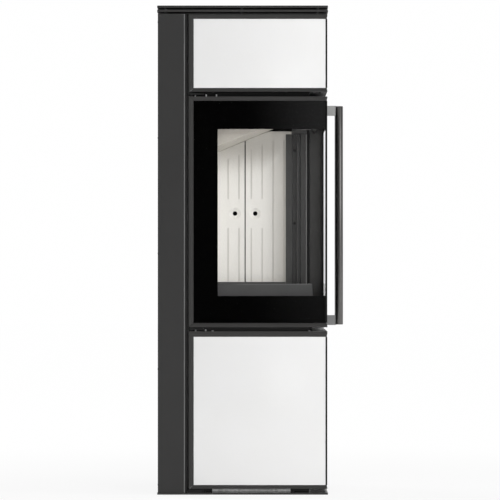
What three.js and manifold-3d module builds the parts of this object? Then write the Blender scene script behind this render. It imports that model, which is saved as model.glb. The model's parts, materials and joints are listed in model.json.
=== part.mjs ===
// Tiled wood stove of square plan with a corner-glazed door, in millimetres.
// +Z is up, the front faces -Y and the glazed side faces -X.
// The origin is on the floor, at the centre of the base plate.
import * as THREE from 'three';
import { mergeVertices } from 'three/addons/utils/BufferGeometryUtils.js';
import Module from 'manifold-3d';

const wasm = await Module();
wasm.setup();

// Overall plan
const bodyWidth = 500;
const bodyDepth = 520;
const plateOverhang = 2;
const plateCornerRadius = 4;
const clearance = 0.3;

// Heights, from the floor up
const basePlateThickness = 6;
const plinthGap = 12;
const lowerDoorHeight = 483;
const middleGap = 13.5;
const doorHeight = 707;
const upperGap = 14.5;
const upperTrayHeight = 237;
const hoodGap = 7.5;
const topPlateThickness = 6.8;
const topPlateGap = 5.9;

// L-shaped units that wrap the glazed corner: the door and the two tile trays
const wingDepth = 46;
const frameBar = 15;
const doorRail = 13;
const farBarBack = 35;
const flangeWidth = 30;
const flangeThickness = 4;
const paneRecess = 1;
const paneGap = 0.4;
const glassThickness = 4;
const tileThickness = 8;
const cornerStrip = 4.4;
const chamferWidth = 9;
const chamferDepth = 2;
const mitreRun = 10;
const mitreRise = 3;
const trayBacking = 2;
const trayRim = 2;
const lowerTrayTopBar = 16.5;
const upperTrayTopBar = 13.5;
const trayBottomBar = 11;

// Hinge line shared by both doors
const hingeInset = 8;
const hingePinRadius = 4;
const hingePinLength = 20;
const hingePlateThickness = 5;
const hingePlateReach = 38;
const hingePlateMargin = 10;
const hingePlateInset = 2;
const pinEndGap = 1;

// Sheet casings
const sheet = 2;
const rearCasingDepth = 83;
const casingGap = 11.5;
const casingFlange = 25;
const casingRise = 1;
const casingJoint = 3;
const casingLip = 7;
const ventRows = [430, 1180];
const ventColumns = 9;
const ventPitch = 40;
const ventWidth = 10;
const ventHeight = 110;
const sideConvectionGap = 20;
const rearConvectionGap = 100;

// Seal line between the door and the inner body
const sealGap = 8;
const sealWidth = 9;
const farSealInset = 2;

// Inner body
const firePlate = 4;
const liningThickness = 30;
const rearPostWidth = 60;
const carrierHeight = 20;
const carrierWall = 3;
const compartmentFloorHeight = 112;
const postLeg = 30;
const magnetWidth = 17;
const magnetHeight = 50;
const magnetOffset = 5;
const postWall = 3;
const shellBelowTray = 7;

// Firebox levels: from the bottom of the door, and below or above its top
const sillTop = 86;
const guardTop = 132;
const guardHeight = 61.5;
const guardSheet = 4;
const guardEndInset = 20;
const guardRearInset = 70;
const lintelBelowDoorTop = 71;
const ceilingAboveDoor = 28.5;
const floorStep = 0.5;
const hearthTop = 86;
const hearthThickness = 30;
const hearthRail = 12;
const hearthCrossBar = 3;

// Lining of the closed side: two panels with a seam between them
const liningSeam = 3.5;
const frontPostDepth = 65;
const liningUnderPost = 18.7;
const liningTopGap = 1;
const liningBelowLintel = 16.5;
const grooveWidth = 4.5;
const grooveDepth = 2.2;
const groovePitch = 35;
const grooveFirst = 18;
const grooveBottom = 130;
const grooveTopMargin = 37;
const grooveBelowPanelTop = 28;
const airHoleHeight = 356;
const airHoleRadius = 7.2;
const airDishRadius = 18;
const airDishDepth = 8;
const airHoleInset = 30.8;
const grooveBreak = 93;
const groovesPerPanel = 4;
const broken = 2;
const rearGrooves = 9;

// Baffles: a wedge-shaped lower block that slopes up towards the front, and a plate over it
const baffleFrontThickness = 25;
const baffleRearBelowDoorTop = 171;
const baffleSlope = 22.5;
const baffleFrontGap = 102;
const baffleSideGap = 2;
const upperBaffleAbove = 22;
const upperBaffleSlope = 5;
const upperBaffleFrontGap = 24;
const upperBaffleRearGap = 150;

// Grate and ash pan
const grateLength = 190;
const grateWidth = 150;
const grateThickness = 14;
const grateBar = 8;
const grateSlots = 7;
const grateLedge = 10;
const ashPanDepth = 38;
const ashPanWall = 2;
const ashPanSideReach = 20;
const ashPanRearInset = 20;

// Flue and air
const flueRadius = 75;
const flueWall = 4;
const flueFromRear = 88;
const flueFlange = 18;
const flueHoleMargin = 7;
const flueTopBelowPlate = 2.5;
const spigotRadius = 50;
const spigotWall = 1.5;
const spigotHeight = 62;
const spigotProjection = 1.5;
const airBoxHeight = 96;
const airBoxWall = 1.5;
const airBoxInset = 46;
const airBoxRearGap = 28;
const riserWidth = 120;
const riserDepth = 60;
const riserSlotInset = 4.5;

// Plinth slot
const slotLength = 242;
const slotOffset = -3;
const slotHeight = 14;

// Air control
const leverTravel = 50;
const leverThickness = 4;
const leverWidth = 12;
const leverRest = -20;
const leverSlotMargin = 2;
const leverEndInset = 20;
const leverWebWidth = 6;
const knobInset = 20;
const leverSetback = 4;
const knobDepth = 22;
const knobHeight = 8;
const portPitch = 90;
const portWidth = 40;
const portLength = 80;
const portCount = 3;
const portFromRear = 62;
const damperThickness = 4;
const damperMargin = 10;

// Door handle and latch
const barRadius = 13;
const barStandOff = 36;
const barInset = 13;
const barEndInset = 2;
const armHeight = 29;
const armWidth = 16;
const armTongue = 7;
const armShoulder = 4;
const spindleInset = 7.5;
const spindleDepth = 23;
const spindleRadius = 4;
const spindleTail = 10.5;
const eyeRadius = 7;
const hookReach = 22;
const hookThickness = 4;
const hookGap = 3;
const hookFinger = 4;
const hookRunningGap = 0.6;
const keeperPinRadius = 3;
const keeperPlate = 2.5;
const keeperPlateGap = 1.5;
const keeperPinEnd = 2;
const keeperReach = 34;
const keeperEdge = 5;

// Air-wash strip behind the front glass
const washStripReach = 23.3;
const washStripDrop = 22;
const washStripRise = 2.8;
const washStripLeg = 17.5;
const washStripSheet = 1.7;
const washStripSideInset = 6;
const washStripFarInset = 33;

// Hanger of the upper tray, and the clamps of the glass
const hangerHeight = 34;
const clampHeight = 12;
const clampThickness = 3;

// Studs between the top plates
const studRadius = 4;
const studInset = 16;
const studFrontInset = 29;
const studRearInset = 22;
const hoodInset = 8;

// Finishes
function finish(color, roughness, metalness) {
  return new THREE.MeshStandardMaterial({ color, roughness, metalness });
}

const casingPaint = finish('#3d3c3c', 0.62, 0.2);
const framePaint = finish('#424140', 0.58, 0.2);
const innerSteel = finish('#2c2b2b', 0.7, 0.3);
const fireSteel = finish('#464543', 0.65, 0.3);
const tileGlaze = finish('#ececea', 0.12, 0.0);
const darkGlass = finish('#101011', 0.05, 0.0);
const whiteLining = finish('#dcd9d2', 0.9, 0.0);
const stainless = finish('#8c8a88', 0.3, 0.9);
const galvanised = finish('#9da0a1', 0.4, 0.8);
const castIron = finish('#2a2a2a', 0.8, 0.4);
const ropeSeal = finish('#1d1d1c', 0.95, 0.0);

// Levels worked out from the stack of heights
const zBase = basePlateThickness;
const zLowerDoor = zBase + plinthGap;
const zLowerDoorTop = zLowerDoor + lowerDoorHeight;
const zDoor = zLowerDoorTop + middleGap;
const zDoorTop = zDoor + doorHeight;
const zTray = zDoorTop + upperGap;
const zTrayTop = zTray + upperTrayHeight;
const zSecondPlate = zTrayTop + hoodGap;
const zTopPlate = zSecondPlate + topPlateThickness + topPlateGap;

// Plan lines of the body
const left = -bodyWidth / 2;
const right = bodyWidth / 2;
const front = -bodyDepth / 2;
const rear = bodyDepth / 2;
const casingFront = rear - rearCasingDepth;
const wingLength = casingFront - casingGap - front;
const seatX = left + wingDepth + sealGap;
const seatY = front + wingDepth + sealGap;
const innerRight = right - sheet - sideConvectionGap;
const innerRear = rear - sheet - rearConvectionGap;
const hingeX = left + hingeInset;
const hingeY = front + wingLength - frameBar / 2;

// A closed three.js geometry as a solid, ready for joins and cuts
function toSolid(geometry) {
  const merged = mergeVertices(geometry, 1e-4);
  return new wasm.Manifold(new wasm.Mesh({
    numProp: 3,
    vertProperties: Float32Array.from(merged.attributes.position.array),
    triVerts: Uint32Array.from(merged.index.array),
  }));
}

// An outline in (u, v) carried along w; place puts (u, v, w) into the frame without mirroring it
function sweep(points, [w0, w1], place) {
  const shape = new THREE.Shape(points.map(([u, v]) => new THREE.Vector2(u, v)));
  const raised = new THREE.ExtrudeGeometry(shape, { depth: 1, bevelEnabled: false });
  const { position } = raised.attributes;
  const corners = [];
  for (let i = 0; i < position.count; i += 1) {
    const w = position.getZ(i) > 0.5 ? w1 : w0;
    corners.push(...place(position.getX(i), position.getY(i), w));
  }
  const geometry = new THREE.BufferGeometry();
  geometry.setAttribute('position', new THREE.Float32BufferAttribute(corners, 3));
  return toSolid(geometry);
}

// Outlines carried along Z, X and Y
const plate = (points, z) => sweep(points, z, (x, y, w) => [x, y, w]);
const sideProfile = (points, x) => sweep(points, x, (y, z, w) => [w, y, z]);
const rearProfile = (points, y) => sweep(points, y, (z, x, w) => [x, w, z]);

function circle(radius, [u, v], sides) {
  return Array.from({ length: sides }, (_, i) => {
    const turn = (2 * Math.PI * (i + 0.5)) / sides;
    return [u + radius * Math.cos(turn), v + radius * Math.sin(turn)];
  });
}

const block = ([x0, x1], [y0, y1], z) => plate([[x0, y0], [x1, y0], [x1, y1], [x0, y1]], z);
const rod = (radius, place, z, sides = 24) => plate(circle(radius, place, sides), z);
const rodAlongX = (radius, x, [y, z], sides = 24) => sideProfile(circle(radius, [y, z], sides), x);
const rodAlongY = (radius, y, [x, z], sides = 32) => rearProfile(circle(radius, [z, x], sides), y);

// A conical dish sunk along X, from the first radius at the face to the second at its floor
function dishAlongX([faceRadius, floorRadius], [x0, x1], [y, z], sides = 32) {
  const geometry = new THREE.CylinderGeometry(floorRadius, faceRadius, x1 - x0, sides);
  geometry.deleteAttribute('normal');
  geometry.deleteAttribute('uv');
  geometry.rotateZ(-Math.PI / 2);
  geometry.translate((x0 + x1) / 2, y, z);
  return toSolid(geometry);
}

// An L in plan: outer corner at (x0, y0), one leg to x1 and one to y1
function angle([x0, x1], [y0, y1], thickness, z) {
  return plate([
    [x0, y0],
    [x1, y0],
    [x1, y0 + thickness],
    [x0 + thickness, y0 + thickness],
    [x0 + thickness, y1],
    [x0, y1],
  ], z);
}

// A six-sided solid between two upright rectangles, one at each depth from an outer face
function funnel(depths, rectangles, wing) {
  const corners = [];
  depths.forEach((depth, end) => {
    const [[u0, u1], [z0, z1]] = rectangles[end];
    [[u0, z0], [u1, z0], [u1, z1], [u0, z1]].forEach(([u, z]) => {
      corners.push(...(wing === 'side' ? [depth, u, z] : [u, depth, z]));
    });
  });
  const faces = [0, 2, 1, 0, 3, 2, 4, 5, 6, 4, 6, 7];
  for (let i = 0; i < 4; i += 1) {
    const j = (i + 1) % 4;
    faces.push(i, j, 4 + j, i, 4 + j, 4 + i);
  }
  if (wing !== 'side') {
    faces.reverse();
  }
  const geometry = new THREE.BufferGeometry();
  geometry.setAttribute('position', new THREE.Float32BufferAttribute(corners, 3));
  geometry.setIndex(faces);
  return toSolid(geometry);
}

const join = (...solids) => solids.reduce((whole, next) => whole.add(next));
const cut = (solid, ...tools) => tools.reduce((rest, tool) => rest.subtract(tool), solid);

// A named mesh whose geometry is centred on its own position in the group
function addPiece(group, name, solid, material) {
  const { vertProperties, triVerts } = solid.getMesh();
  const geometry = new THREE.BufferGeometry();
  geometry.setAttribute('position', new THREE.Float32BufferAttribute(vertProperties, 3));
  geometry.setIndex(Array.from(triVerts));
  geometry.computeBoundingBox();
  const centre = geometry.boundingBox.getCenter(new THREE.Vector3());
  geometry.translate(-centre.x, -centre.y, -centre.z);
  geometry.computeVertexNormals();
  const mesh = new THREE.Mesh(geometry, material);
  mesh.name = name;
  mesh.position.copy(centre);
  group.add(mesh);
}

function addGroup(parent, x = 0, y = 0, z = 0) {
  const group = new THREE.Group();
  group.position.set(x, y, z);
  parent.add(group);
  return group;
}

// Plan rectangle with rounded corners
function roundedPlan(width, depth, radius) {
  const points = [];
  const corners = [[1, 1, 0], [-1, 1, 90], [-1, -1, 180], [1, -1, 270]];
  corners.forEach(([sx, sy, start]) => {
    for (let step = 0; step <= 3; step += 1) {
      const angle = THREE.MathUtils.degToRad(start + step * 30);
      const x = sx * (width / 2 - radius) + radius * Math.cos(angle);
      const y = sy * (depth / 2 - radius) + radius * Math.sin(angle);
      points.push([x, y]);
    }
  });
  return points;
}

const stove = new THREE.Group();

// ---------- Casing and plates ----------

const plateOutline = roundedPlan(
  bodyWidth + 2 * plateOverhang,
  bodyDepth + 2 * plateOverhang,
  plateCornerRadius,
);
const studPlaces = [];
for (const x of [left + studInset, right - studInset]) {
  for (const y of [front + studFrontInset, (studFrontInset - studRearInset) / 2, rear - studRearInset]) {
    studPlaces.push([x, y]);
  }
}
const fluePlace = [0, innerRear - flueFromRear];
const plateHole = flueRadius + flueWall + flueHoleMargin;
const addStuds = (solid, z) => join(solid, ...studPlaces.map((place) => rod(studRadius, place, z, 16)));

function makePlates(group) {
  addPiece(group, 'base_plate', plate(plateOutline, [0, basePlateThickness]), casingPaint);

  const zSecondTop = zSecondPlate + topPlateThickness;
  const secondPlate = cut(
    plate(plateOutline, [zSecondPlate, zSecondTop]),
    rod(plateHole, fluePlace, [zSecondPlate - 1, zSecondTop + 1], 48),
  );
  const studTop = zTopPlate - clearance;
  addPiece(group, 'second_plate', addStuds(secondPlate, [zSecondTop - 1, studTop]), casingPaint);

  const zTop = zTopPlate + topPlateThickness;
  const topPlate = cut(
    plate(plateOutline, [zTopPlate, zTop]),
    rod(plateHole, fluePlace, [zTopPlate - 1, zTop + 1], 48),
  );
  addPiece(group, 'top_plate', topPlate, casingPaint);

  // Sheet that closes the casing at the top, open over the hot-air chamber
  const zFrame = zTrayTop + casingRise + clearance;
  const hoodTop = zFrame + sheet;
  const hoodFrame = cut(
    block([left + hoodInset, right - hoodInset], [front + hoodInset, rear - hoodInset], [zFrame, hoodTop]),
    block([seatX, innerRight], [seatY + postLeg, innerRear], [zFrame - 1, hoodTop + 1]),
  );
  const studZ = [hoodTop - 1, zSecondPlate - clearance];
  addPiece(group, 'hood_frame', addStuds(hoodFrame, studZ), casingPaint);
}

const casingTop = zTrayTop + casingRise;
const casingBottom = zBase + clearance;

function makeCasing(group) {
  const z = [casingBottom, casingTop];
  const flangeBack = casingFront + sheet;
  const shell = plate([
    [left, casingFront],
    [left + casingFlange - sheet, casingFront],
    [left + casingFlange - sheet, casingFront - casingLip],
    [left + casingFlange, casingFront - casingLip],
    [left + casingFlange, flangeBack],
    [left + sheet, flangeBack],
    [left + sheet, rear - sheet],
    [right - sheet, rear - sheet],
    [right - sheet, flangeBack],
    [right - casingFlange, flangeBack],
    [right - casingFlange, casingFront],
    [right, casingFront],
    [right, rear],
    [left, rear],
  ], z);
  const ventHoles = [];
  for (const row of ventRows) {
    for (let column = 0; column < ventColumns; column += 1) {
      const x = (column - (ventColumns - 1) / 2) * ventPitch;
      const slotX = [x - ventWidth / 2, x + ventWidth / 2];
      ventHoles.push(block(slotX, [rear - 2 * sheet, rear + 1], [row, row + ventHeight]));
    }
  }
  const spigotHole = rodAlongY(
    spigotRadius + spigotWall + clearance,
    [rear - 2 * sheet, rear + 1],
    [0, spigotHeight],
  );
  addPiece(group, 'rear_casing', cut(shell, spigotHole, ...ventHoles), casingPaint);

  const panelY = [front + wingDepth + casingJoint, casingFront - casingJoint];
  const rightCasing = block([right - sheet, right], panelY, z);
  addPiece(group, 'right_casing', rightCasing, casingPaint);

  const linerY = [innerRear + clearance, rear - 2 * sheet];
  const liner = block([seatX, seatX + sheet], linerY, z);
  addPiece(group, 'left_channel_liner', liner, innerSteel);
}

// ---------- Plinth and lower compartment ----------

const zFloor = zBase + compartmentFloorHeight;
const zCarrierTop = zDoor + floorStep - clearance;
const zCarrier = zCarrierTop - carrierHeight;
const compartmentX = [seatX, innerRight];
const compartmentY = [seatY, innerRear];

function makePlinth(group) {
  const z = [zBase + clearance, zFloor - clearance];
  const slotCentre = (seatY + innerRear) / 2 + slotOffset;
  const slot = block(
    [seatX - 1, seatX + sheet + 1],
    [slotCentre - slotLength / 2, slotCentre + slotLength / 2],
    [zBase - 1, zBase + slotHeight],
  );
  const panels = plate([
    [seatX, seatY],
    [innerRight, seatY],
    [innerRight, innerRear],
    [innerRight - sheet, innerRear],
    [innerRight - sheet, seatY + sheet],
    [seatX + sheet, seatY + sheet],
    [seatX + sheet, innerRear],
    [seatX, innerRear],
  ], z);
  addPiece(group, 'plinth', cut(panels, slot), innerSteel);
}

function makeCompartment(group) {
  const floorTop = zFloor + sheet;
  addPiece(group, 'compartment_floor', block(compartmentX, compartmentY, [zFloor, floorTop]), innerSteel);

  const wallZ = [floorTop + clearance, zCarrier - clearance];
  const walls = plate([
    [innerRight - postLeg, seatY],
    [innerRight, seatY],
    [innerRight, innerRear],
    [seatX, innerRear],
    [seatX, innerRear - sheet],
    [innerRight - sheet, innerRear - sheet],
    [innerRight - sheet, seatY + sheet],
    [innerRight - postLeg, seatY + sheet],
  ], wallZ);
  addPiece(group, 'compartment_walls', walls, innerSteel);
  const post = angle([seatX, seatX + postLeg], [seatY, seatY + postLeg], postWall, wallZ);
  addPiece(group, 'corner_post', post, innerSteel);

  const magnetZ = zLowerDoor + lowerDoorHeight / 2;
  const magnetX = innerRight - magnetWidth / 2 + magnetOffset;
  const magnet = block(
    [magnetX - magnetWidth / 2, magnetX + magnetWidth / 2],
    [seatY - sealGap + clearance, seatY - clearance],
    [magnetZ - magnetHeight / 2, magnetZ + magnetHeight / 2],
  );
  addPiece(group, 'lower_door_magnet', magnet, innerSteel);
}

// ---------- Air path under and behind the firebox ----------

const airBoxZ = [zBase + clearance, zBase + clearance + airBoxHeight];
const airBoxFront = seatY + airBoxInset;
const airBoxRear = rear - sheet - airBoxRearGap;
const riserY = [innerRear + 2 * sheet, innerRear + 2 * sheet + riserDepth];
const riserX = [-riserWidth / 2, riserWidth / 2];

function makeAirPath(group) {
  const boxX = [seatX + 3 * sheet, innerRight - 3 * sheet];
  const riserZ = [airBoxZ[1] - airBoxWall, zCarrierTop];
  const spigotY = [airBoxRear - airBoxWall, rear + spigotProjection];
  const duct = cut(
    join(
      block(boxX, [airBoxFront, airBoxRear], airBoxZ),
      block(riserX, riserY, riserZ),
      rodAlongY(spigotRadius + spigotWall, spigotY, [0, spigotHeight]),
    ),
    block(
      [boxX[0] + airBoxWall, boxX[1] - airBoxWall],
      [airBoxFront + airBoxWall, airBoxRear - airBoxWall],
      [airBoxZ[0] - 1, airBoxZ[1] - airBoxWall],
    ),
    rodAlongY(spigotRadius, [airBoxRear - 2 * airBoxWall, spigotY[1] + 1], [0, spigotHeight]),
    block(
      [riserX[0] + airBoxWall, riserX[1] - airBoxWall],
      [riserY[0] + airBoxWall, riserY[1] - airBoxWall],
      [riserZ[0] - 1, riserZ[1] - airBoxWall],
    ),
    block(
      [riserX[0] + riserSlotInset, riserX[1] - riserSlotInset],
      [riserY[0] - 1, riserY[0] + 2 * airBoxWall],
      [zCarrier + carrierWall, zCarrierTop - carrierWall],
    ),
  );
  addPiece(group, 'air_duct', duct, galvanised);
}

// ---------- Firebox ----------

const zFireFloor = zDoor + floorStep;
const zFireFloorTop = zFireFloor + firePlate;
const zSillTop = zDoor + sillTop;
const zCeiling = zDoorTop + ceilingAboveDoor;
const zLintel = zDoorTop - lintelBelowDoorTop;
const liningFaceX = innerRight - firePlate - liningThickness;
const liningFaceY = innerRear - firePlate - liningThickness;
const leverX = [leverRest - leverWidth / 2, leverRest + leverWidth / 2];
const leverZ = zLowerDoorTop + middleGap / 2;
const portX = Array.from({ length: portCount }, (_, i) => (i - (portCount - 1) / 2) * portPitch);
const portCentreY = innerRear - portFromRear;

function makeFireboxShell(group) {
  // Shallow tray that carries the firebox, roofs the compartment and holds the air slide
  const carrier = cut(
    block(compartmentX, compartmentY, [zCarrier, zCarrierTop]),
    block(
      [seatX + carrierWall, innerRight - carrierWall],
      [seatY + carrierWall, innerRear - carrierWall],
      [zCarrier + sheet, zCarrierTop + 1],
    ),
    block(
      [leverX[0] - leverSlotMargin, leverX[1] + leverTravel + leverSlotMargin],
      [seatY - 1, seatY + 2 * carrierWall],
      [leverZ - leverThickness, leverZ + leverThickness],
    ),
    block(
      [riserX[0] + riserSlotInset, riserX[1] - riserSlotInset],
      [innerRear - 2 * carrierWall, innerRear + 1],
      [zCarrier + carrierWall, zCarrierTop - carrierWall],
    ),
  );
  addPiece(group, 'firebox_carrier', carrier, innerSteel);

  const ports = portX.map((x) => block(
    [x - portWidth / 2, x + portWidth / 2],
    [portCentreY - portLength / 2, portCentreY + portLength / 2],
    [zFireFloor - 1, zFireFloorTop + 1],
  ));
  const floor = block(compartmentX, compartmentY, [zFireFloor, zFireFloorTop]);
  addPiece(group, 'firebox_floor', cut(floor, ...ports), fireSteel);

  const sillZ = [zFireFloorTop + clearance, zSillTop];
  const sill = angle([seatX, innerRight], [seatY, innerRear], firePlate, sillZ);
  addPiece(group, 'opening_sill', sill, fireSteel);

  const wallZ = [zFireFloorTop + clearance, zCeiling - clearance];
  const wallStart = [seatX + firePlate + clearance, seatY + firePlate + clearance];
  const walls = plate([
    [innerRight - firePlate, wallStart[1]],
    [innerRight, wallStart[1]],
    [innerRight, innerRear],
    [wallStart[0], innerRear],
    [wallStart[0], innerRear - firePlate],
    [innerRight - firePlate, innerRear - firePlate],
  ], wallZ);
  addPiece(group, 'firebox_walls', walls, fireSteel);

  // Bent plate beside the side opening, hidden by the dark border of the glass
  const postZ = [zSillTop + clearance, zLintel - clearance];
  const postY = [innerRear - rearPostWidth, innerRear];
  const rearPost = join(
    block([seatX, seatX + firePlate], postY, postZ),
    block([seatX, seatX + liningThickness], [postY[0], postY[0] + firePlate], postZ),
  );
  addPiece(group, 'opening_rear_post', rearPost, fireSteel);

  // Upper shell: lintel above the opening and carrier of the upper tray
  const shellZ = [zLintel, zTrayTop - shellBelowTray];
  const shell = angle([seatX, innerRight], [seatY, innerRear], postWall, shellZ);
  addPiece(group, 'upper_shell', shell, fireSteel);

  const top = cut(
    block(
      [seatX + postWall + clearance, innerRight],
      [seatY + postWall + clearance, innerRear],
      [zCeiling, zCeiling + firePlate],
    ),
    rod(flueRadius, fluePlace, [zCeiling - 1, zCeiling + firePlate + 1], 48),
  );
  addPiece(group, 'firebox_top', top, fireSteel);

  const flueZ = [zCeiling + firePlate + clearance, zSecondPlate - flueTopBelowPlate];
  const flue = cut(
    join(
      rod(flueRadius + flueWall, fluePlace, flueZ, 48),
      rod(flueRadius + flueWall + flueFlange, fluePlace, [flueZ[0], flueZ[0] + firePlate], 48),
    ),
    rod(flueRadius, fluePlace, [flueZ[0] - 1, flueZ[1] + 1], 48),
  );
  addPiece(group, 'flue_outlet', flue, fireSteel);
}

// Steel profile at the far side of the front opening, seen through the glass: outline points
// as [distance out from the lining's face, distance forward from its first edge]. Its first
// band lies over the front end of the lining
const frontPostSteps = [
  [2.8, 0],
  [2.8, 20],
  [-8, 21.5],
  [-8, 33],
  [1, 34.5],
  [1, 41],
  [-5, 42.5],
  [-5, 46.5],
  [-1, 48],
  [-1, 63.5],
];
const frontPostSetback = 1.1;
const frontPostLip = 3;
const frontPostLipWidth = 2;
const frontPostBelowLintel = 26;

function makeFrontPost(group) {
  const y0 = seatY + frontPostSetback;
  const y1 = liningPanelFront - clearance;
  const yBoard = y1 - liningUnderPost;
  const back = innerRight - firePlate - clearance;
  const flangeBack = liningFaceX - clearance;
  const lipX = liningFaceX - frontPostLip;
  const outline = [
    [back, y0],
    [back, yBoard],
    [flangeBack, yBoard],
    [flangeBack, y1],
    ...frontPostSteps.map(([out, forward]) => [liningFaceX - out, y1 - forward]),
    [lipX, y0 + frontPostLipWidth],
    [lipX, y0],
  ];
  const z = [zSillTop + clearance, zLintel - frontPostBelowLintel];
  addPiece(group, 'opening_front_post', plate(outline, z), fireSteel);
}

const liningPanelFront = seatY + firePlate + clearance + frontPostDepth;
const liningPanelWidth = (liningFaceY - clearance - liningSeam - liningPanelFront) / 2;
const baffleRise = Math.tan(THREE.MathUtils.degToRad(baffleSlope));
const zBaffleRear = zDoorTop - baffleRearBelowDoorTop;

// Height of the lower baffle's underside over a place in plan
const baffleUnderside = (y) => zBaffleRear + (liningFaceY - y) * baffleRise;

function makeLining(group) {
  const zBottom = zDoor + hearthTop + clearance;
  const panelX = [liningFaceX, liningFaceX + liningThickness - clearance];
  const panelTop = zLintel - liningBelowLintel;
  for (const [index, name] of ['lining_side_front', 'lining_side_rear'].entries()) {
    const shownY = liningPanelFront + index * (liningPanelWidth + liningSeam);
    const y0 = index === 0 ? shownY - liningUnderPost : shownY;
    const y1 = shownY + liningPanelWidth;
    const board = sideProfile([
      [y0, zBottom],
      [y1, zBottom],
      [y1, baffleUnderside(y1) - liningTopGap],
      [y0, baffleUnderside(y0) - liningTopGap],
    ], panelX);
    const inward = index === 0 ? -1 : 1;
    const seamY = index === 0 ? y1 : y0;
    const outerY = index === 0 ? shownY : y1;
    const hole = [seamY + inward * airHoleInset, zDoor + airHoleHeight];
    const faceX = [liningFaceX - 1, liningFaceX + grooveDepth];
    const tools = [
      block([liningFaceX - 1, innerRight], [y0 - 1, y1 + 1], [panelTop, zCeiling]),
      dishAlongX([airDishRadius, airHoleRadius], [liningFaceX, liningFaceX + airDishDepth], hole),
      rodAlongX(airHoleRadius, [liningFaceX - 1, innerRight], hole),
    ];
    for (let i = 0; i < groovesPerPanel; i += 1) {
      const y = seamY + inward * (grooveFirst + i * groovePitch);
      const grooveTop = Math.min(baffleUnderside(y) - grooveTopMargin, panelTop - grooveBelowPanelTop);
      const z = [zDoor + grooveBottom, grooveTop];
      const half = Math.min(grooveWidth / 2, Math.abs(outerY - y) - 0.5);
      const spans = i < broken ? [[z[0], hole[1] - grooveBreak / 2], [hole[1] + grooveBreak / 2, z[1]]] : [z];
      tools.push(...spans.map((span) => block(faceX, [y - half, y + half], span)));
    }
    addPiece(group, name, cut(board, ...tools), whiteLining);
  }

  // Rear board with evenly spaced grooves
  const rearX = [seatX + liningThickness + 2 * clearance, innerRight - firePlate - clearance];
  const rearY = [liningFaceY + clearance, liningFaceY + liningThickness - clearance];
  const rearZ = [zBottom, baffleUnderside(rearY[1]) - liningTopGap];
  const grooves = Array.from({ length: rearGrooves }, (_, i) => {
    const x = rearX[0] + (rearX[1] - rearX[0]) * (i + 1) / (rearGrooves + 1);
    return block(
      [x - grooveWidth / 2, x + grooveWidth / 2],
      [rearY[0] - 1, rearY[0] + grooveDepth],
      [zDoor + grooveBottom, rearZ[1] - grooveBelowPanelTop],
    );
  });
  addPiece(group, 'lining_rear', cut(block(rearX, rearY, rearZ), ...grooves), whiteLining);
}

function makeBaffles(group) {
  const lowerFront = seatY + baffleFrontGap;
  const lowerRear = innerRear - firePlate - clearance;
  const lowerTop = baffleUnderside(lowerFront) + baffleFrontThickness;
  const lower = sideProfile([
    [lowerFront, baffleUnderside(lowerFront)],
    [lowerRear, baffleUnderside(lowerRear)],
    [lowerRear, lowerTop],
    [lowerFront, lowerTop],
  ], [seatX + firePlate + baffleSideGap, innerRight - firePlate - baffleSideGap]);
  const notchX = [seatX, seatX + liningThickness + baffleSideGap];
  const notchY = [innerRear - rearPostWidth - baffleSideGap, innerRear];
  const postNotch = block(notchX, notchY, [baffleUnderside(innerRear), zCeiling]);
  addPiece(group, 'lower_baffle', cut(lower, postNotch), whiteLining);

  const upperY = [seatY + upperBaffleFrontGap, innerRear - upperBaffleRearGap];
  const rise = Math.tan(THREE.MathUtils.degToRad(upperBaffleSlope)) * (upperY[1] - upperY[0]);
  const zUpper = lowerTop + upperBaffleAbove;
  const upper = sideProfile([
    [upperY[0], zUpper + rise],
    [upperY[1], zUpper],
    [upperY[1], zUpper + firePlate],
    [upperY[0], zUpper + rise + firePlate],
  ], [seatX + postWall + clearance, innerRight - firePlate - clearance]);
  addPiece(group, 'upper_baffle', upper, fireSteel);
}

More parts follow.
